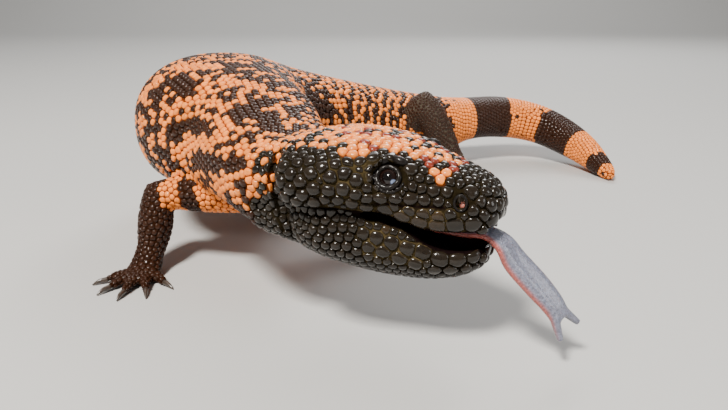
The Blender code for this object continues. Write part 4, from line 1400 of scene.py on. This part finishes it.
def colours_of(about):
    """The dome's and the seam's colour of each scale, and whether it is salmon."""
    head, leg = about["region"] == HEAD, about["region"] == LEG
    on_head, on_leg = head_salmon(about), leg_salmon(about)
    salmon = np.where(head, on_head, np.where(leg, on_leg, body_salmon(about["run"], about["angle"])))
    luck = chance.random((len(salmon), 2))
    along, aside, up = about["local"][:, 0], np.abs(about["local"][:, 1]), about["local"][:, 2]
    bead = paint_where(salmon, SALMON, paint_where(head, HEAD_BLACK, BLACK)) * (0.86 + 0.28 * luck[:, :1])
    seam = paint_where(salmon, SALMON_SEAM, BLACK_SEAM)
    seam = paint_where(leg & ~salmon & (about["leg"] >= 2), HIND_SEAM, seam)
    crown = head & (up > 9.0) & (along > 12) & (aside < 12.0) & ~salmon
    bead = paint_where(crown & (luck[:, 1] < 0.55), CROWN_RED, bead)
    seam = paint_where(head & salmon, SALMON_SEAM * 1.3, seam)
    lip = head & (up < -0.8) & (up > -7.5) & (along > 34) & (along < 52.5) & (kinds == PLATE)
    bead = paint_where(lip, HEAD_BLACK + (LIP_BROWN - HEAD_BLACK) * (0.35 + 0.65 * luck[:, 1:]), bead)
    share = np.clip(paleness(along, up), 0, 1) * (0.5 + 0.5 * luck[:, 0])
    dull = DULL_SEAM * 0.5
    seam = paint_where(head & ~salmon, dull + (PALE_SEAM - dull) * share[:, None], seam)
    return bead, seam, salmon


bead_colour, seam_colour, is_salmon = colours_of(about)
print("salmon scales", int(is_salmon.sum()), "black", int((~is_salmon).sum()))

# %% [markdown]
# ## Reach and height of each scale
#
# A scale reaches as far as halfway to its neighbours, a little less for the seam. Big scales take more of the
# room than small ones. A soft minimum over the neighbours rounds the corners, and a cap keeps a lonely scale
# from growing too wide. Back and cheeks bear high round beads, belly and lips nearly flat plates.

# %% Reach and height of each scale
DIRECTIONS = 12
SEAM = 0.11
CORNERS = {"plate": 16.0, "head": 13.0, "body": 9.0}
CAPS = {"plate": 1.58, "head": 1.50, "body": 1.32}
turns = 2 * math.pi * np.arange(DIRECTIONS) / DIRECTIONS


def frames_at(normals, about):
    """Two directions in the skin at each scale: forward along the part it grows on, and across."""
    _, _, _, forward, _ = body_line.at(about["run"])
    hint = np.where((about["region"] == HEAD)[:, None], HEAD_FORWARD, forward)
    hint = hint + 0.02 * UP
    first = unit(hint - (hint * normals).sum(-1, keepdims=True) * normals)
    return first, np.cross(normals, first)


def by_kind(values):
    """One value per scale: plates, other scales of the head, and all the rest."""
    return np.where(kinds == PLATE, values["plate"],
                    np.where(about["region"] == HEAD, values["head"], values["body"]))


def reaches(places, radii, first, second):
    """Edge distance in each direction: half the gap to each neighbour over the cosine, as a soft minimum."""
    near = neighbours(places, 12)
    gap = places[near] - places[:, None]
    distance = np.maximum(np.linalg.norm(gap, axis=-1), 0.05)
    bearing = np.arctan2((gap * second[:, None]).sum(-1), (gap * first[:, None]).sum(-1))
    halfway = (distance**2 + radii[:, None] ** 2 - radii[near] ** 2) / (2 * distance)
    lean = np.cos(turns[None, None] - bearing[..., None])
    edge = np.maximum(halfway, 0.2)[..., None] / np.maximum(lean, 0.02)
    power = by_kind(CORNERS)[:, None]
    cap = by_kind(CAPS) * radii
    total = (edge ** -power[..., None]).sum(1) + (cap[:, None] ** -power)
    return np.maximum(total ** (-1 / power) - SEAM / 2, 0.3 * radii[:, None])


first, second = frames_at(normals, about)
reach = reaches(places, radii, first, second)


def heights_of(about, radii, rise_shares):
    """High domes on back and cheeks, low ones on tail and legs, nearly flat plates on belly and lips."""
    belly = smoothstep(-0.5, -0.8, np.sin(about["angle"]))
    tail = smoothstep(TAIL_START - 0.03, TAIL_START + 0.03, about["share"])
    body = radii * (0.60 - 0.22 * tail) * (1 - 0.75 * belly)
    leg = radii * (0.46 - 0.12 * smoothstep(2.0, 2.6, about["along"]))
    head = radii * np.where(kinds == PLATE, 1.1 * rise_shares, 0.62)
    return np.select([about["region"] == HEAD, about["region"] == LEG], [head, leg], body)


height = heights_of(about, radii, rise_shares)
print("mean height of a scale", round(float(height.mean()), 2), "mm")

# %% [markdown]
# ## A dome
#
# A dome is four rings and a top. The outer ring lies sunk in the skin, so no gap shows under its edge. It
# has a few dozen faces only, because there are thousands, and all are worked out at once.

# %% A dome
RING_SHARES = np.array([1.0, 0.965, 0.80, 0.47])
RING_HEIGHTS = np.array([-0.30, 0.34, 0.75, 0.97])


def dome_points(chosen):
    """Points of domes: share s of the way to the edge, s squared of the skin's fall, a height for each s."""
    out = (np.cos(turns)[None, :, None] * first[chosen][:, None]
           + np.sin(turns)[None, :, None] * second[chosen][:, None]) * reach[chosen][..., None]
    edge = places[chosen][:, None] + out
    fall = onto_skin(edge.reshape(-1, 3))[0].reshape(edge.shape) - edge
    s = RING_SHARES[None, :, None, None]
    rise = (RING_HEIGHTS[None, :, None, None] * height[chosen][:, None, None, None]
            * normals[chosen][:, None, None])
    rings = places[chosen][:, None, None] + s * out[:, None] + s**2 * fall[:, None] + rise
    tops = places[chosen] + height[chosen][:, None] * normals[chosen]
    return np.concatenate([rings.reshape(len(chosen), -1, 3), tops[:, None]], axis=1)


def dome_faces(count):
    """Four-sided faces between the rings and a fan to the top, the same for every dome."""
    top = len(RING_SHARES) * DIRECTIONS
    grid, turned, quads = ring_faces(len(RING_SHARES), DIRECTIONS)
    fan = np.stack([grid[-1], turned[-1], np.full(DIRECTIONS, top)], -1)
    step = np.arange(count)[:, None, None] * (top + 1)
    return (quads[None] + step).reshape(-1, 4), (fan[None] + step).reshape(-1, 3)


quads, fans = dome_faces(1)
print("triangles in a dome", 2 * len(quads) + len(fans))

# %% [markdown]
# ## The coat
#
# The coat is cut into eight pieces, so that none is too heavy. In each, a mask at the rim of every dome mixes
# the seam's colour into the bead's. A texture can be baked into a small patch for each scale. The patches lie
# as the scales do on a flat unwrap of the skin: body below, then head, then legs in strips of their own.

# %% The coat
PATCH_HALF = 0.0015


def turn_share(up, out):
    """The angle of up over out, as a share of a full turn."""
    return np.arctan2(up, out) / (2 * math.pi) + 0.5


def off_leg(points, about):
    """Each point less the place beside it on its leg's middle line."""
    middle = np.zeros_like(points)
    along = about["along"][:, None]
    for number, name in enumerate(LEG_NAMES):
        root, elbow, wrist, _ = leg_lines[name]
        beyond = wrist + (foot_lines[name].line[-1] - wrist) * (along - 2)
        lower = np.where(along < 2, elbow + (wrist - elbow) * (along - 1), beyond)
        spot = np.where(along < 1, root + (elbow - root) * along, lower)
        middle = np.where((about["leg"] == number)[:, None], spot, middle)
    return points - middle


def patch_places(places, about):
    """Left to right by the place along the part, and upward by the turn round it, in the part's own strip."""
    local, off = about["local"], off_leg(places, about)
    body = np.stack([about["share"], 0.04 + 0.44 * (about["angle"] / (2 * math.pi) + 0.5)], -1)
    head = np.stack([0.02 + 0.9 * (local[:, 0] + 5.0) / 70.0,
                     0.52 + 0.22 * turn_share(local[:, 2] + 4.0, local[:, 1])], -1)
    leg = np.stack([(about["leg"] + about["along"] / 3.0) / 4.0,
                    0.78 + 0.18 * turn_share(off[:, 2], off[:, 0] + off[:, 1])], -1)
    region = about["region"][:, None]
    return np.clip(np.where(region == HEAD, head, np.where(region == LEG, leg, body)), 0.002, 0.998)


patch_at = patch_places(places, about)

FLOOR_GAP = 0.05
# how much of the seam's colour each ring has, from the edge to the top
RIM_MIX = np.repeat([1.0, 0.10, 0.0, 0.0], DIRECTIONS).tolist() + [0.0]
# pieces of neck, trunk and tail, from share to share of the body line
BODY_PIECES = (("neck_scales", 0.0, 0.17), ("front_trunk_scales", 0.17, 0.31),
               ("middle_trunk_scales", 0.31, 0.47), ("rump_scales", 0.47, TAIL_START),
               ("tail_scales", TAIL_START, 1.01))


def add_domes(name, chosen):
    """One coat piece: domes, their colours, a rim mask and the unwrap that a texture is baked in."""
    points = dome_points(chosen)
    per = points.shape[1]
    points = points.reshape(-1, 3)
    points[:, 2] = np.maximum(points[:, 2], FLOOR_GAP)
    quads, fans = dome_faces(len(chosen))
    made = mesh_object(name, points, quads.tolist() + fans.tolist())
    rim = np.tile(RIM_MIX, len(chosen))[:, None]
    bead = np.repeat(bead_colour[chosen], per, axis=0)
    seam = np.repeat(seam_colour[chosen], per, axis=0)
    add_colours(made, bead * (1 - rim) + seam * rim)
    circle = np.stack([np.cos(turns), np.sin(turns)], -1)
    flat = np.vstack([(RING_SHARES[:, None, None] * circle).reshape(-1, 2), np.zeros((1, 2))])
    spread = np.repeat(patch_at[chosen], per, axis=0) + PATCH_HALF * np.tile(flat, (len(chosen), 1))
    corners = np.empty(len(made.data.loops), dtype=np.int64)
    made.data.loops.foreach_get("vertex_index", corners)
    layer = made.data.uv_layers.new(name="OFBake")
    layer.data.foreach_set("uv", spread[corners].ravel().astype(np.float32))
    print(name, len(chosen), "scales,", 2 * len(quads) + len(fans), "triangles")
    return made


real = kinds != GHOST
region, share = about["region"], about["share"]
coat = {
    "head_scales": real & (region == HEAD),
    "foreleg_scales": real & (region == LEG) & (about["leg"] < 2),
    "hindleg_scales": real & (region == LEG) & (about["leg"] >= 2),
}
for name, start, end in BODY_PIECES:
    coat[name] = real & (region == BODY) & (share >= start) & (share < end)
coat = {name: add_domes(name, np.flatnonzero(chosen)) for name, chosen in coat.items()}

# %% [markdown]
# ## Colours of the skin
#
# Between the scales the skin shows, in the seam colour of the nearest scale made darker as painted shade in
# the hollows between the domes. The mouth and its creases are nearly black, painted shade, since no light gets
# in.

# %% Colours of the skin
# painted shade: how far the skin between the scales is darkened below the seam colour, on body and head
SKIN_SHADE = 0.7
HEAD_SKIN_SHADE = 0.34

colour_tree = tree_of(places)
nearest = np.array([colour_tree.find(p)[1] for p in skin_points.tolist()])
skin_on_head = skin_about["region"] == HEAD
# seam colour of the nearest scale, darkened as painted shade between the domes
skin_tint = seam_colour[nearest] * np.where(skin_on_head, HEAD_SKIN_SHADE, SKIN_SHADE)[:, None]
along, aside, up = skin_about["local"][:, 0], np.abs(skin_about["local"][:, 1]), skin_about["local"][:, 2]
# painted shadow: the mouth's crease on the cheek and the line under the fold are coloured near black
crease = (np.abs(up - crease_height(along)) < 1.3) & (along > 8.0) & (along < 36.0) & (aside > 12.0)
crease |= (np.abs(up - FOLD_HEIGHT) < 0.6) & (along > 33.0) & (along < 52.0)
skin_tint[skin_on_head & (crease | in_mouth(skin_about["local"]))] = MOUTH_SHADE_BLACK
add_colours(skin, skin_tint)
print("mean colour of the skin", skin_tint.mean(0).round(3))

# %% [markdown]
# ## Eyes
#
# The eyeball is a polished ball, almost black, with a round pupil and a dark brown iris. A pale bluish corner
# shows at the front below: the membrane there, with a painted reflection in it. The ball bulges a little at the
# front, where the clear cornea is.

# %% Eyes
PUPIL = 1.25
IRIS = 2.2
EYE_BLACK = np.array([0.004, 0.003, 0.003])
EYE_BROWN = np.array([0.009, 0.004, 0.003])
# the membrane's pale colour with a painted bluish reflection, for the eye's front lower corner
EYE_PALE_AND_GLINT = np.array([0.24, 0.31, 0.48])


def ball_angles(rings, sides):
    """Angle from a ball's axis by turn round it, on a grid without its two poles."""
    return np.meshgrid(math.pi * np.arange(1, rings) / rings, 2 * math.pi * np.arange(sides) / sides,
                       indexing="ij")


def head_tube(name, local):
    """A closed tube from rings in the head's axes."""
    return closed_tube(name, from_head(local[..., 0], local[..., 1], local[..., 2]))


def eyeball(name, sign):
    """A ball whose radius has a bell of 0.18 mm at its front. Colours go by the distance from its axis, and a
    pale corner holds a painted reflection.
    """
    centre, ahead, rise, outward = eye_axes(sign)
    polar, turn = ball_angles(30, 48)
    radius = EYE_RADIUS + 0.18 * np.exp(-((polar / 0.6) ** 2))
    axes = np.stack([ahead, rise * sign, outward])
    ball = np.stack([np.sin(polar) * np.cos(turn), np.sin(polar) * np.sin(turn), np.cos(polar)], -1) @ axes
    made = head_tube(name, centre + radius[..., None] * ball)
    spots = into_head(points_of(made)) - centre
    wide = np.hypot(spots @ ahead, spots @ rise)
    ring = (smoothstep(PUPIL, PUPIL + 0.35, wide) * smoothstep(IRIS + 0.5, IRIS, wide))[:, None]
    # mask of the pale corner: partly the membrane's own colour, partly a painted reflection
    corner = unit(spots) @ unit(0.56 * ahead - 0.34 * rise + 0.76 * outward)
    corner = smoothstep(0.965, 0.985, corner)[:, None]
    colours = EYE_BLACK + (EYE_BROWN - EYE_BLACK) * ring
    add_colours(made, colours + (EYE_PALE_AND_GLINT - colours) * corner)
    return made


eyes = {sign: eyeball(name, sign) for name, sign in (("left_eye", 1.0), ("right_eye", -1.0))}
print("points of the eyes", [len(eye.data.vertices) for eye in eyes.values()])

# %% [markdown]
# ## Lids and brow shields
#
# Lids and rims are rolls, swept along a middle line the way a modeller lays a coil of clay. A thick lid goes
# all the way round the eye, and a second fold hangs under it, pinched into five lumps. Two long shields
# overhang the eye from above, which gives the animal its frown.

# %% Lids and brow shields
def rolled_tube(path, outward, half_width, half_height, sides=14):
    """Rings round a path: half width sideways in the surface and half height along the outward normal."""
    forward = unit(np.gradient(path, axis=0))
    normal = unit(outward - (outward * forward).sum(-1, keepdims=True) * forward)
    side = np.cross(forward, normal)
    turn = 2 * math.pi * np.arange(sides) / sides
    wide = np.broadcast_to(half_width, len(path))[:, None, None]
    tall = np.broadcast_to(half_height, len(path))[:, None, None]
    return (path[:, None] + wide * np.cos(turn)[None, :, None] * side[:, None]
            + tall * np.sin(turn)[None, :, None] * normal[:, None])


def faced_out(made):
    """Turns faces outward where the volume, a sum of corner products over all faces, comes out negative."""
    points = points_of(made)
    volume = 0.0
    for polygon in made.data.polygons:
        a, b, c = (points[i] for i in polygon.vertices[:3])
        volume += float(np.dot(a - points[0], np.cross(b - points[0], c - points[0])))
    if volume < 0:
        made.data.flip_normals()
    return made


def closed_roll(name, path, outward, half_width, half_height, sides=14):
    """A roll round a closed path, like a tyre: the last section joins the first."""
    wrap = np.arange(-2, len(path) + 2) % len(path)
    wide, tall = (np.broadcast_to(size, len(path))[wrap] for size in (half_width, half_height))
    rings = rolled_tube(path[wrap], np.broadcast_to(outward, (len(wrap), 3)), wide, tall, sides)[2:-2]
    grid = np.arange(len(path) * sides).reshape(len(path), sides)
    right, below = np.roll(grid, -1, axis=1), np.roll(grid, -1, axis=0)
    quads = np.stack([grid, right, np.roll(right, -1, axis=0), below], -1).reshape(-1, 4)
    return faced_out(mesh_object(name, rings.reshape(-1, 3), quads.tolist()))


LID_REACH = (3.2, 3.0)
FOLD = (150.0, 352.0)
FOLD_REACH = 4.75
FOLD_HALF = 0.72
FOLD_LUMPS = 5
# place ahead and above the eye's middle, half length and half height, turn in degrees
BROW_SHIELDS = ((-2.5, 4.7, 2.6, 1.55, 18.0), (2.2, 5.1, 2.4, 1.35, -12.0))


def lid_roll(sign):
    """A roll round the eye whose thickness grows towards the bottom, with nine faint waves."""
    outward = eye_axes(sign)[3]
    out = outward[0] * HEAD_FORWARD + outward[1] * HEAD_LEFT + outward[2] * UP
    degrees = np.arange(0, 360, 5.0)
    low = 0.5 - 0.5 * np.sin(np.radians(degrees))
    thick = 0.60 + 0.34 * low + 0.04 * np.sin(np.radians(degrees) * 9)
    return closed_roll("lid roll", eye_ring(sign, LID_REACH, degrees, 2.5), out, thick, thick * 1.05)


def lower_fold(sign):
    """A roll laid on the skin under the lid, tapered at both ends and pinched between its lumps."""
    path, normal = onto_skin(eye_ring(sign, (FOLD_REACH, 0.95 * FOLD_REACH), np.linspace(*FOLD, 60), 2.6))
    taper = np.sin(np.linspace(0.10, math.pi - 0.10, len(path))) ** 0.45
    taper *= 1 - 0.30 * np.cos(np.linspace(0, 2 * math.pi * FOLD_LUMPS, len(path))) ** 8
    rings = rolled_tube(path, normal, FOLD_HALF * taper, (0.35 + 0.8 * FOLD_HALF) * taper, 16)
    return faced_out(closed_tube("fold", rings))


def brow_shield(sign, forth, up, long, tall, tilt):
    """A long ball: half length along its way, half height over it, and 1.5 mm outward."""
    centre, ahead, rise, outward = eye_axes(sign)
    polar, turn = ball_angles(16, 28)
    way = math.cos(math.radians(tilt)) * ahead + math.sin(math.radians(tilt)) * rise
    over = math.cos(math.radians(tilt)) * rise - math.sin(math.radians(tilt)) * ahead
    local = (centre + forth * ahead + up * rise + 2.0 * outward + long * np.cos(polar)[..., None] * way
             + tall * (np.sin(polar) * np.cos(turn))[..., None] * over
             + 1.5 * (np.sin(polar) * np.sin(turn))[..., None] * outward)
    return faced_out(head_tube("brow", local))


lids = []
for sign in SIDES:
    lids += [lid_roll(sign), lower_fold(sign)] + [brow_shield(sign, *shield) for shield in BROW_SHIELDS]
lids = joined("eyelids", lids)
print("lids", len(lids.data.vertices), "points")

# %% [markdown]
# ## Nostrils
#
# The nostril is a pit with a raised rim. Inside it the moist lining shows pink at the bottom.

# %% Nostrils
RIM_HALVES = (1.65, 2.15)
nostrils, linings = [], []
for sign in SIDES:
    turn = np.radians(np.arange(0, 360, 15.0))
    out = unit(0.30 * HEAD_FORWARD + sign * 0.95 * HEAD_LEFT)
    ahead = unit(np.cross(UP, out)) * sign
    centre = from_head(np.array(NOSTRIL_PLACE[0]), sign * (NOSTRIL_PLACE[1] + 0.3), NOSTRIL_PLACE[2])
    path = (centre + RIM_HALVES[0] * np.cos(turn)[:, None] * ahead
            + RIM_HALVES[1] * np.sin(turn)[:, None] * UP)
    nostrils.append(closed_roll("nostril rim", path, out, 0.40, 0.42, 10))
    polar, turn = ball_angles(10, 18)
    ball = np.stack([np.sin(polar) * np.cos(turn), np.cos(polar), np.sin(polar) * np.sin(turn)], -1)
    spot = np.array(NOSTRIL_PLACE) * [1.0, sign, 1.0] + [0.1, -sign * 1.7, -1.2]
    linings.append(faced_out(head_tube("lining", spot + ball * [1.1, 0.8, 1.0])))
nostrils = joined("nostril_rims", nostrils)
linings = joined("nostril_linings", linings)
print("rims", len(nostrils.data.vertices), "points, linings", len(linings.data.vertices))

# %% [markdown]
# ## Tongue
#
# A gila monster tastes the air with a thick strap of a tongue, forked at its tip. It hangs out over the lower
# lip and rolls a little to one side, so each station has an angle of roll as well. It is slate-lavender above
# and red along the underside, and the fork is lavender all round.

# %% Tongue
# along, left and up in the head's axes, half width, half height, roll in degrees
TONGUE_STATIONS = (
    (44.0, 0.0, -10.1, 3.2, 1.2, 0.0),
    (54.0, 0.0, -9.9, 3.5, 1.3, 0.0),
    (60.0, 0.1, -9.3, 3.8, 1.5, 2.0),
    (64.8, 0.4, -12.0, 4.3, 1.8, 12.0),
    (68.2, 0.8, -16.7, 4.7, 1.9, 22.0),
    (74.6, 1.4, -23.0, 4.6, 1.9, 27.0),
    (79.2, 1.8, -27.8, 4.1, 1.7, 28.0),
    (82.2, 2.2, -32.2, 3.6, 1.5, 28.0),
)
TONGUE_SQUARENESS = 2.4
TONGUE_VOXEL = 0.42
FORK_LENGTH = 5.0
FORK_SPREAD = 2.0
FORK_OVERLAP = 2.0

rows = np.array(TONGUE_STATIONS)
tongue_line = BentLine(np.hstack([from_head(rows[:, 0], rows[:, 1], rows[:, 2]), rows[:, 3:]]),
                       hinge=-HEAD_LEFT)


def rolled_frame(runs):
    """Centre, side, top, forward and sizes of the tongue. Side and top turn about forward by its roll."""
    centre, side, top, forward, sizes = tongue_line.at(runs)
    roll = np.radians(sizes[:, 2:3])
    return (centre, np.cos(roll) * side + np.sin(roll) * top, np.cos(roll) * top - np.sin(roll) * side,
            forward, sizes)


centre, side, top, _, sizes = rolled_frame(np.linspace(0.0, tongue_line.length, 60))
across, rise = rounded(2 * math.pi * (np.arange(28) + 0.5)[None, :, None] / 28, TONGUE_SQUARENESS)
groove = 1.0 - 0.22 * np.exp(-((across / 0.22) ** 2)) * (rise < 0)
strap = (centre[:, None] + sizes[:, None, :1] * across * side[:, None]
         + sizes[:, None, 1:2] * groove * rise * top[:, None])
tongue_forms = [closed_tube("tongue strap", strap)]
end, side, _, forward, _ = (v[0] for v in rolled_frame(np.array([tongue_line.length])))
for sign in (-1.0, 1.0):
    root = end + sign * 1.9 * side - FORK_OVERLAP * forward
    way = (FORK_LENGTH + FORK_OVERLAP) * unit(forward + sign * side * FORK_SPREAD / FORK_LENGTH)
    stations = [(*(root + way * k), 1.9 * (1 - 0.42 * k), 1.45 * (1 - 0.38 * k)) for k in (0.0, 0.5, 1.0)]
    tongue_forms.append(sized_tube("tongue prong", BentLine(stations, hinge=-HEAD_LEFT), 14, 18))
tongue = fuse("forked_tongue", tongue_forms, TONGUE_VOXEL, 5)

LAVENDER = np.array([0.17, 0.175, 0.23])
RED = np.array([0.36, 0.075, 0.06])

points = points_of(tongue)
nearest = ((points[:, None] - tongue_line.line[None]) ** 2).sum(-1).argmin(1)
centre, side, top, _, sizes = rolled_frame(tongue_line.run[nearest])
above = -((points - centre) * top).sum(-1) / sizes[:, 1]
upper_share = smoothstep(0.25, 0.75, above)[:, None]
tip = smoothstep(78, 84, into_head(points)[:, 0])[:, None]
under = RED + (LAVENDER * 0.8 - RED) * tip
add_colours(tongue, under + (LAVENDER - under) * upper_share)
print("share of the tongue that is lavender", round(float(upper_share.mean()), 2))

# %% [markdown]
# ## Claws
#
# Each toe ends in a short hooked claw, thick where it leaves the toe and blunt at the tip from digging.

# %% Claws
CLAW_LENGTH = 5.0
CLAW_RADIUS = 1.0
CLAW_TIP_HEIGHT = 0.35


def claw(toe):
    """A tapering tube on a smooth line, from a little inside the toe down to the floor."""
    tip, _, _, forward, _ = (v[0] for v in toe.at(np.array([toe.length])))
    start = tip - forward * 0.5
    level = unit(forward * [1.0, 1.0, 0.0])
    middle = tip + forward * CLAW_LENGTH * 0.5 + UP * 0.35
    end = tip + level * CLAW_LENGTH - UP * (tip[2] - CLAW_TIP_HEIGHT)
    line = BentLine([(*start, CLAW_RADIUS, CLAW_RADIUS), (*middle, 0.72 * CLAW_RADIUS, 0.80 * CLAW_RADIUS),
                     (*end, 0.20 * CLAW_RADIUS, 0.20 * CLAW_RADIUS)])
    return sized_tube("claw", line, 12, 14)


claws = {name: joined(f"{name}_claws", [claw(toe) for toe in toes]) for name, toes in toe_lines.items()}
print("claws on", list(claws))

# %% [markdown]
# ## Finishes
#
# No horn or hide is one even colour, and none is perfectly smooth. So two node groups, one that mottles a
# colour by noise and one that makes fine wrinkles, are placed in every material with its own values.

# %% Finishes
def new_group(name, inputs, output):
    """A shader node group with named inputs and one output, and its two end nodes."""
    group = bpy.data.node_groups.new(name, "ShaderNodeTree")
    for label, kind, value in inputs:
        socket = group.interface.new_socket(label, in_out="INPUT", socket_type=kind)
        socket.default_value = value
    group.interface.new_socket(output[0], in_out="OUTPUT", socket_type=output[1])
    return group, group.nodes.new("NodeGroupInput"), group.nodes.new("NodeGroupOutput")


def add_node(tree, kind, operation=None, **inputs):
    """A node with its operation and the values of its named inputs. An input called in_0 is its first one."""
    node = tree.nodes.new(kind)
    if operation:
        node.operation = operation
    for label, value in inputs.items():
        key = int(label[3:]) if label.startswith("in_") else label.replace("_", " ")
        node.inputs[key].default_value = value
    return node


def wire(tree, *pairs):
    """Links from an output to an input, each named by its node and its label."""
    for source, output, target, label in pairs:
        tree.links.new(source.outputs[output], target.inputs[label])


mottle, start, end = new_group("uneven colour", [("Color", "NodeSocketColor", (0.5, 0.5, 0.5, 1.0)),
                                                 ("Scale", "NodeSocketFloat", 900.0),
                                                 ("Amount", "NodeSocketFloat", 0.2)],
                               ("Color", "NodeSocketColor"))
where = add_node(mottle, "ShaderNodeTexCoord")
grain = add_node(mottle, "ShaderNodeTexNoise", Detail=4.0)
spread = add_node(mottle, "ShaderNodeMapRange", From_Min=0.3, From_Max=0.7)
low = add_node(mottle, "ShaderNodeMath", "SUBTRACT", in_0=1.0)
high = add_node(mottle, "ShaderNodeMath", "ADD", in_0=1.0)
times = add_node(mottle, "ShaderNodeVectorMath", "SCALE")
wire(mottle, (where, "Object", grain, "Vector"), (start, "Scale", grain, "Scale"),
     (grain, "Fac", spread, "Value"), (start, "Amount", low, 1), (start, "Amount", high, 1),
     (low, "Value", spread, "To Min"), (high, "Value", spread, "To Max"), (start, "Color", times, 0),
     (spread, "Result", times, "Scale"), (times, "Vector", end, "Color"))

wrinkle, start, end = new_group("fine wrinkles", [("Scale", "NodeSocketFloat", 1500.0),
                                                  ("Depth", "NodeSocketFloat", 0.00006)],
                                ("Normal", "NodeSocketVector"))
where = add_node(wrinkle, "ShaderNodeTexCoord")
grain = add_node(wrinkle, "ShaderNodeTexNoise", Detail=5.0)
bump = add_node(wrinkle, "ShaderNodeBump")
wire(wrinkle, (where, "Object", grain, "Vector"), (start, "Scale", grain, "Scale"),
     (grain, "Fac", bump, "Height"), (start, "Depth", bump, "Distance"), (bump, "Normal", end, "Normal"))

COAT_ROUGHNESS = 0.08
SOFT_RADIUS = (1.0, 0.35, 0.2)
SOFT_SCALE = 0.0012


def finish(name, colour=None, roughness=0.4, coat=0.0, mottling=(900.0, 0.15), wrinkles=(1500.0, 0.00005),
           soft=0.0, shine=0.5):
    """A Principled finish: tint from the attribute or one colour, uneven, with fine wrinkles and a coat."""
    made = bpy.data.materials.new(name)
    made.use_nodes = True
    tree = made.node_tree
    shader = tree.nodes["Principled BSDF"]
    values = {"Roughness": roughness, "Specular IOR Level": shine, "Coat Weight": coat,
              "Coat Roughness": COAT_ROUGHNESS}
    if soft:
        values |= {"Subsurface Weight": soft, "Subsurface Radius": SOFT_RADIUS,
                   "Subsurface Scale": SOFT_SCALE}
    for label, value in values.items():
        shader.inputs[label].default_value = value
    uneven = add_node(tree, "ShaderNodeGroup")
    uneven.node_tree = mottle
    uneven.inputs["Scale"].default_value, uneven.inputs["Amount"].default_value = mottling
    if colour is None:
        tint = add_node(tree, "ShaderNodeAttribute")
        tint.attribute_name = "tint"
        wire(tree, (tint, "Color", uneven, "Color"))
    else:
        uneven.inputs["Color"].default_value = (*colour, 1.0)
    fine = add_node(tree, "ShaderNodeGroup")
    fine.node_tree = wrinkle
    fine.inputs["Scale"].default_value, fine.inputs["Depth"].default_value = wrinkles
    wire(tree, (uneven, "Color", shader, "Base Color"), (fine, "Normal", shader, "Normal"))
    return made


horn = finish("bead_horn", roughness=0.28, coat=0.34, shine=0.08, mottling=(700.0, 0.16),
              wrinkles=(1400.0, 0.00004))
head_horn = finish("head_horn", roughness=0.20, coat=0.28, shine=0.22, mottling=(900.0, 0.2),
                   wrinkles=(1300.0, 0.00006))
hide = finish("hide", roughness=0.65, shine=0.0, mottling=(1200.0, 0.25), wrinkles=(2500.0, 0.00008))
lid_hide = finish("lid_hide", (0.008, 0.006, 0.005), 0.42, 0.14, wrinkles=(1600.0, 0.00010), shine=0.12)
eye_gloss = finish("eye_gloss", roughness=0.06, coat=0.2, shine=0.4, mottling=(2500.0, 0.1),
                   wrinkles=(100.0, 0.0000001))
pink = finish("moist_pink", (0.50, 0.17, 0.13), 0.25, 0.6)
wet = finish("wet_tongue", roughness=0.34, coat=0.6, mottling=(1500.0, 0.35), wrinkles=(1900.0, 0.00040),
             soft=0.1)
claw_horn = finish("claw_horn", (0.045, 0.032, 0.024), 0.32, 0.3, mottling=(500.0, 0.3))
print("finishes", [paint.name for paint in bpy.data.materials if paint.use_nodes])

# %% [markdown]
# ## Put together
#
# Each piece rides on the one still body. The skin stands for the solids of flesh, eyes for eyes and claws for
# claws.

# %% Put together
dress = [(skin, hide), (lids, lid_hide), (nostrils, lid_hide), (linings, pink), (tongue, wet)]
dress += [(eye, eye_gloss) for eye in eyes.values()] + [(made, claw_horn) for made in claws.values()]
dress += [(made, head_horn if name == "head_scales" else horn) for name, made in coat.items()]
for made, paint in dress:
    made.data.materials.append(paint)
    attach(made, "root")
limbs = [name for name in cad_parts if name.startswith(("tail", "fore", "hind")) and "claw" not in name]
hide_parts("head", "jaw", "neck", "torso_front", "torso_middle", "torso_rear", "pelvis", *limbs)
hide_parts("eye_left")
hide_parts("eye_right")
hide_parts("tongue")
for name, made in claws.items():
    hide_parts(*[f"{name}_claw_{number}" for number in range(1, 6)])
print("pieces", len(dress))
